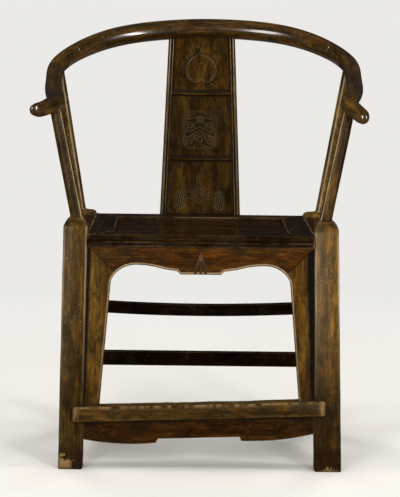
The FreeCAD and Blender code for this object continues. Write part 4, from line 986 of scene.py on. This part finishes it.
def make_panel(name, low, high, carve, centre):
    """A board between the stiles. Its field is carved from the face and its corners are rounded."""
    rows = round((high - low) / PANEL_STEP)
    share, height = np.meshgrid(np.linspace(-1, 1, PANEL_COLUMNS), np.linspace(low, high, rows))
    half = splat_in(height)
    across = share * half
    x, z = across / MM, height / MM
    depth, painted_highlights = carve(x - centre[0], z - centre[1])
    top = high if name != "top" else RAIL_TOP
    middle = (low + top) / 2 / MM
    corner = np.where(z < middle, LOW_CORNER, HIGH_CORNER)
    over_x = np.abs(x) - (half / MM - PANEL_RIM - corner)
    over_z = np.abs(z - middle) - ((top - low) / 2 / MM - PANEL_RIM - corner)
    outer = np.hypot(np.maximum(over_x, 0), np.maximum(over_z, 0)) - corner
    depth = np.maximum(depth, 1.3 * np.clip(outer / 1.2 + 0.5, 0, 1))
    wave = np.array([ripple(a / 14, b / 40, centre[1]) for a, b in zip(x.flat, z.flat)])
    depth = np.clip(depth + 0.22 + 0.22 * wave.reshape(x.shape), 0, 3)
    face, back = (np.stack([across, splat_y(height) + deep, height], axis=-1).reshape(-1, 3)
                  for deep in (depth * MM - PANEL_THICK / 2, PANEL_THICK / 2))

    spots = np.arange(x.size).reshape(x.shape)
    faces = np.stack([spots[:-1, :-1], spots[:-1, 1:], spots[1:, 1:], spots[1:, :-1]], axis=-1)
    faces = faces.reshape(-1, 4).tolist()
    rim = np.concatenate([spots[0], spots[1:, -1], spots[-1, -2::-1], spots[-2:0:-1, 0]]).tolist()
    count = len(rim)
    faces += [(rim[i], rim[(i + 1) % count], x.size + (i + 1) % count, x.size + i) for i in range(count)]
    left = [x.size + -row % count for row in range(rows)]
    right = [x.size + PANEL_COLUMNS - 1 + row for row in range(rows)]
    faces += [(left[i], right[i], right[i + 1], left[i + 1]) for i in range(rows - 1)]
    # The carving is darkened by its depth as painted shade with some dark wax, and paled by its painted
    # highlights
    blackest = 0.5 if name == "middle" else 0.8
    darkened = np.clip((depth.ravel() - 0.45) / 1.3, 0, 1) * blackest
    build(f"carved_panel_{name}", [(np.concatenate([face, back[rim]]), faces)],
          "top panel wood" if name == "top" else "splat wood", (f"splat_panel_{name}",),
          darkened=np.pad(darkened, (0, count)), wear_and_highlight=np.pad(painted_highlights.ravel(), (0, count)), crease=60)


def make_splat():
    for name, side in SIDES:
        make_stile(name, side)
    for name in CROSSRAIL_TOPS:
        make_crossrail(name)
    lower, upper = CROSSRAIL_TOPS.values()
    make_panel("bottom", SEAT, lower - CROSSRAIL_HIGH, carve_cloud, (-2.5, 564))
    make_panel("middle", lower, upper - CROSSRAIL_HIGH, carve_medallion, (-2.5, 711))
    make_panel("top", upper, SPLAT_HEAD, carve_peach, (-1, 851))


make_splat()


# Aprons: a raised bead follows the lower edges, and a tuft of leaves marks the middle

APRON_SHARES = [(1, 0.975), (0.89, 0.745), (0.75, 0.665), (0.60, 0.70), (0.43, 0.815), (0.275, 0.885)]
NECK_DROP, NECK_WIDE, HANG_WIDE, HANG_FOOT = 0.076, 0.052, 0.034, FOOTREST_TOP + 0.008
HOLLOWS = np.array((-0.0115, 0.0, 0.0105))
RIDGE_STEPS = 8
RIDGE_RING = RIDGE_STEPS + 3


def apron_spot(share):
    return MITRE_FOOT[0] * share[0], APRON_TOP - APRON_DROP * share[1]


def front_edge():
    """The front apron's lower edge, from its left end to its right end."""
    cusp, rise, crest, slide, dip, tip = (apron_spot(share) for share in APRON_SHARES)
    half = arc_through(cusp, rise, crest, 14) + arc_through(crest, slide, dip, 14)
    half += [dip, tip] + [(x * MM, APRON_TOP - APRON_DROP) for x in np.arange(43.0, 0, -1.2)]
    return [(-x, z) for x, z in half] + half[::-1]


def side_edge():
    """A hanging apron's inner edge on the right, from its mitre down to the footrest."""
    cusp = apron_spot(APRON_SHARES[0])
    neck = (leg_in(APRON_TOP - NECK_DROP) - NECK_WIDE, APRON_TOP - NECK_DROP)
    swing = (neck[0] + (cusp[0] - neck[0]) * 0.34, neck[1] + (cusp[1] - neck[1]) * 0.45)
    foot = (leg_in(FOOTREST_TOP) - HANG_WIDE, HANG_FOOT)
    return arc_through(cusp, swing, neck, 12) + np.linspace(neck, foot, 40).tolist()


def ridge(path, inset, half_wide, proud, taper=0.0, hollows=()):
    """A half round ridge on the aprons' face, along a line of x and z. Hollows cut it through."""
    path = np.array(path, float)
    along = np.gradient(path, axis=0)
    along /= np.linalg.norm(along, axis=1, keepdims=True)
    normal = np.column_stack([-along[:, 1], along[:, 0]])
    rings = []
    for i, (spot, away) in enumerate(zip(path + normal * inset, normal)):
        swell = 1 - taper * abs(2 * i / (len(path) - 1) - 1) ** 2
        swell *= min([1.0] + [0.15 + (abs(spot[0] - hollow) / 0.0030) ** 2 for hollow in hollows])
        ring = []
        for step in range(RIDGE_STEPS + 1):
            turn = math.pi * step / RIDGE_STEPS
            x, z = spot + away * half_wide * swell * math.cos(turn)
            ring.append((x, APRON_FRONT - proud * swell * math.sin(turn), z))
        ring += [(x, APRON_FRONT + 0.0006, z) for x, _, z in (ring[-1], ring[0])]
        rings.append(np.array(ring))
    return loft(rings)


def make_apron_carving():
    path = front_edge()
    # The drilled hollows are darkened as painted shade, and the rest of the bead is paled as a painted
    # highlight
    drilled = np.clip(1.6 - np.abs(np.array(path)[:, :1] - HOLLOWS) / 0.0020, 0, 1).max(axis=1)
    drilled = np.repeat(drilled, RIDGE_RING)
    build("front_apron_bead", [ridge(path, 0.0030, 0.0017, 0.0016, hollows=HOLLOWS)], "apron bead wood",
          darkened=drilled, wear_and_highlight=1 - drilled, crease=50)
    for name, side in SIDES:
        path = [(side * x, z) for x, z in side_edge()]
        # A painted highlight along each side bead, fading downwards
        wear_and_highlight = np.repeat(np.linspace(1, 0.35, len(path)), RIDGE_RING)
        build(f"side_apron_bead_{name}", [ridge(path, side * 0.0026, 0.0017, 0.0018)], "apron bead wood",
              wear_and_highlight=wear_and_highlight, crease=50)
    low = APRON_TOP - APRON_DROP + 0.006
    leaves = []
    for reach, head, wide in ((-0.0180, 0.474, 0.0019), (0.0180, 0.474, 0.0019), (-0.0095, 0.470, 0.0018),
                              (0.0095, 0.470, 0.0018), (0.0, 0.478, 0.0017)):
        stops = [(reach * 0.05, head), (reach * 0.24, head - 0.012), (reach * 0.56, low + 0.013), (reach, low)]
        leaf = natural_curve(range(4), stops, np.linspace(0, 3, 24))
        leaves.append(ridge(leaf, 0, wide, 0.0018, 0.75))
    rings = sum(len(points) for points, _ in leaves) // RIDGE_RING
    # The leaves' flanks are darkened as painted shade and their crests paled as painted highlights
    build("front_apron_leaves", leaves, "apron wood",
          darkened=np.tile([1, 0.9, 0.4, 0, 0, 0, 0.4, 0.9, 1, 1, 1], rings),
          wear_and_highlight=np.tile([0, 0, 0, 0.3, 0.5, 0.3, 0, 0, 0, 0, 0], rings), crease=50)


make_apron_carving()


# Footrest: feet have worn its top front edge hollow and round

FOOTREST_HALF = 0.2715
FOOTREST_CANT = 0.035
LEG_LAP_BACK = -0.230
BAR_STEPS = 6
BAR_RING = 4 * (BAR_STEPS + 1)


def bar_ring(x, front, back, low, top, radii):
    """A ring across a bar that runs along x, with its own radius at each corner."""
    corners = ((front, low, 180), (back, low, 270), (back, top, 0), (front, top, 90))
    ring = []
    for (y, z, turn), radius in zip(corners, radii):
        inner_y = y + (radius if y == front else -radius)
        inner_z = z + (radius if z == low else -radius)
        for step in range(BAR_STEPS + 1):
            angle = math.radians(turn + 90 * step / BAR_STEPS)
            ring.append((x, inner_y + radius * math.cos(angle), inner_z + radius * math.sin(angle)))
    return np.array(ring)


def make_footrest():
    rings, wear_and_highlight = [], []
    inner = leg_in(0.13)
    spots = [*np.linspace(-FOOTREST_HALF, FOOTREST_HALF, 180), -inner - MM / 5, -inner, inner, inner + MM / 5]
    spots += [side * (0.271 - step * MM) for side in (-1, 1) for step in range(16)]
    for x in sorted(spots):
        end = (FOOTREST_HALF - abs(x)) / MM
        soft = 0.0022 * math.sqrt(max(0, 1 - min(end, 3) / 3))
        use = math.exp(-(x / 0.19) ** 4)
        tread = ripple(x * 14, 0.4) * 0.0012 + ripple(x * 50, 3.1) * 0.0005
        rise = FOOTREST_CANT * x
        top = FOOTREST_TOP + rise - soft - 0.0012 * use + min(tread, 0.0006) * use
        back = FOOTREST_BACK if abs(x) <= inner else LEG_LAP_BACK
        rings.append(bar_ring(x, FOOTREST_FRONT + soft + max(0, tread) * 0.6, back, FOOTREST_LOW + rise + soft,
                              top, (0.004, 0.0015, 0.0015, 0.0055 + 0.004 * use)))
        scraped = min(1.0, max(0.0, 0.35 + 2.0 * ripple(x * 105, 7.7) + 0.3 * use))
        marks = [0.0] * 14 + [0.2] * 8 + [scraped, scraped, scraped / 2, scraped / 4, 0.0, 0.0]
        if end < 16:
            chips = [0.5 + 3.0 * ripple(x * 210, step * 0.35, 2.1) for step in range(BAR_RING)]
            marks = [min(1.0, mark + max(0.0, chip) * (1 - end / 16)) for mark, chip in zip(marks, chips)]
        wear_and_highlight += marks
    build("worn_footrest", [loft(rings)], "footrest wood", ("footrest",), wear_and_highlight=wear_and_highlight, crease=45)


make_footrest()


# Seat: two boards meet in a fine worn joint

BOARD_HALF, BOARD_LOW, BOARD_TOP, BOARD_SAG = 0.190, 0.495, 0.506, 0.0006


def make_seat_boards():
    boards = []
    for front, back in ((-0.158, -0.0123), (-0.0117, 0.158)):
        rings = []
        for x in np.linspace(-BOARD_HALF, BOARD_HALF, 30):
            top = BOARD_TOP - BOARD_SAG * (1 - (x / BOARD_HALF) ** 2)
            rings.append(bar_ring(x, front, back, BOARD_LOW, top, (MM,) * 4))
        boards.append(loft(rings))
    build("seat_boards", boards, "seat wood across", ("seat_panel",))


make_seat_boards()


# The other solids keep their shape: each gets its finish, and edges softened by so many millimetres

SINGLE_SOLIDS = {
    "crest_rail_wedges": ("wedge wood", 0.3), "seat_front_rail": ("seat wood across", 0.9),
    "seat_rear_rail": ("seat rear rail wood", 0.9), "front_apron": ("apron wood", 0.4),
    "rear_apron": ("stretcher wood", 1.2), "footrest_apron": ("foot apron wood", 1.2),
    "rear_stretcher_upper": ("stretcher wood", 2.2), "rear_stretcher_lower": ("stretcher wood", 2.2),
}
PAIRED_SOLIDS = {
    "seat_side_member": ("seat wood front to back", 0.9), "seat_side_rail": ("seat wood front to back", 2.0),
    "seat_batten": ("stretcher wood", 1.5), "front_apron_side": ("apron side wood", 0.4),
    "side_apron": ("side stretcher wood", 1.2), "side_stretcher_upper": ("side stretcher wood", 5.0),
    "side_stretcher_lower": ("side stretcher wood", 5.0),
}
SHARP = math.radians(35)


def dress(name, finish, width):
    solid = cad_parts[name]
    solid.data.materials.clear()
    solid.data.materials.append(FINISHES[finish])
    edge = solid.modifiers.new("softened edges", "BEVEL")
    edge.width = width * MM
    edge.segments = 3
    edge.limit_method = "ANGLE"
    edge.angle_limit = SHARP
    edge.use_clamp_overlap = True
    solid.data.shade_smooth()
    solid.data.set_sharp_from_angle(angle=SHARP)


for name, looks in SINGLE_SOLIDS.items():
    dress(name, *looks)
for name, looks in PAIRED_SOLIDS.items():
    for side_name, _ in SIDES:
        dress(f"{name}_{side_name}", *looks)


# Floor, light and background

BACKDROP = (0.83, 0.82, 0.80)
PALE, BOUNCED, SOFT_LIGHT = (0.95, 0.94, 0.92), (0.12, 0.11, 0.10), (1.0, 0.97, 0.93)
LAMP_TINT = (1, 0.97, 0.92)
FLOOR_REACH = 9.0


def coloured(tree, kind, colour):
    made = node(tree, kind)
    feed(colour, made.inputs["Color"])
    return made


def blended(tree, amount, first, second):
    made = node(tree, "ShaderNodeMixShader")
    for slot, source in zip(made.inputs, (amount, first, second)):
        feed(source, slot)
    return made.outputs[0]


def for_camera(tree, others, seen):
    """One shader for what the camera sees, and another for every other ray."""
    return blended(tree, node(tree, "ShaderNodeLightPath").outputs["Is Camera Ray"], others, seen)


def make_floor():
    """A pale floor that keeps the shadow near the chair and fades into the background."""
    mesh = bpy.data.meshes.new("floor")
    corners = [(x * FLOOR_REACH, y * FLOOR_REACH, 0) for x, y in ((-1, -1), (1, -1), (1, 1), (-1, 1))]
    mesh.from_pydata(corners, [], [(0, 1, 2, 3)])
    floor = bpy.data.objects.new("floor", mesh)
    scene.collection.objects.link(floor)
    pale = bpy.data.materials.new("pale floor")
    pale.use_nodes = True
    tree = pale.node_tree
    surface = tree.nodes["Principled BSDF"]
    for label, value in (("Base Color", PALE), ("Roughness", 0.9), ("Specular IOR Level", 0.0)):
        feed(value, surface.inputs[label])
    distance = vector_calc("LENGTH", here(tree), (0, 0, 0))["Value"]
    away = ramp(times(distance, 0.25), (0.12, 0.0), (0.62, 1.0))
    seen = blended(tree, away, surface.outputs[0], coloured(tree, "ShaderNodeEmission", BACKDROP).outputs[0])
    dim = coloured(tree, "ShaderNodeBsdfDiffuse", BOUNCED).outputs[0]
    feed(for_camera(tree, dim, seen), tree.nodes["Material Output"].inputs[0])
    mesh.materials.append(pale)


def make_world():
    """A soft light from the front, which the camera sees as a plain background."""
    world = bpy.data.worlds.new("studio")
    scene.world = world
    world.use_nodes = True
    tree = world.node_tree
    tree.nodes.clear()
    soft = coloured(tree, "ShaderNodeBackground", SOFT_LIGHT)
    ways = parts_of(node(tree, "ShaderNodeTexCoord").outputs["Generated"])
    feed(minus(0.05, times(ways["Y"], 0.03)), soft.inputs["Strength"])
    seen = coloured(tree, "ShaderNodeBackground", BACKDROP)
    feed(for_camera(tree, soft.outputs[0], seen.outputs[0]), node(tree, "ShaderNodeOutputWorld").inputs[0])


def make_lamp(name, place, aim, size, power, glare=False):
    """A lamp in front of, above or behind the chair. Its glare is whether it shows in the wax."""
    light = bpy.data.lights.new(name, "AREA")
    light.shape = "RECTANGLE"
    light.size, light.size_y = size
    light.energy = power
    light.color = LAMP_TINT
    lamp = bpy.data.objects.new(name, light)
    lamp.location = place
    lamp.visible_glossy = glare
    lamp.rotation_euler = (Vector(aim) - Vector(place)).to_track_quat("-Z", "Y").to_euler()
    scene.collection.objects.link(lamp)


make_floor()
make_world()
make_lamp("softbox_left", (-1.30, -3.65, 1.10), (0, 0, 0.7), (0.75, 2.0), 58, glare=True)
make_lamp("softbox_right", (1.60, -3.45, 1.10), (0, 0, 0.7), (0.42, 2.0), 66, glare=True)
make_lamp("softbox_overhead", (0, -0.6, 3.4), (0, -0.2, 0.5), (2.6, 2.6), 62)
make_lamp("strip_left", (-2.6, -0.7, 1.0), (0, 0, 0.6), (0.25, 1.5), 18)
make_lamp("strip_right", (2.6, -0.7, 1.0), (0, 0, 0.6), (0.25, 1.5), 22)
make_lamp("softbox_back_left", (-2.0, 3.4, 1.5), (0, 0, 0.5), (1.6, 2.0), 62)
make_lamp("softbox_back_right", (2.0, 3.4, 1.5), (0, 0, 0.5), (1.6, 2.0), 62)
scene.view_settings.view_transform = "Standard"
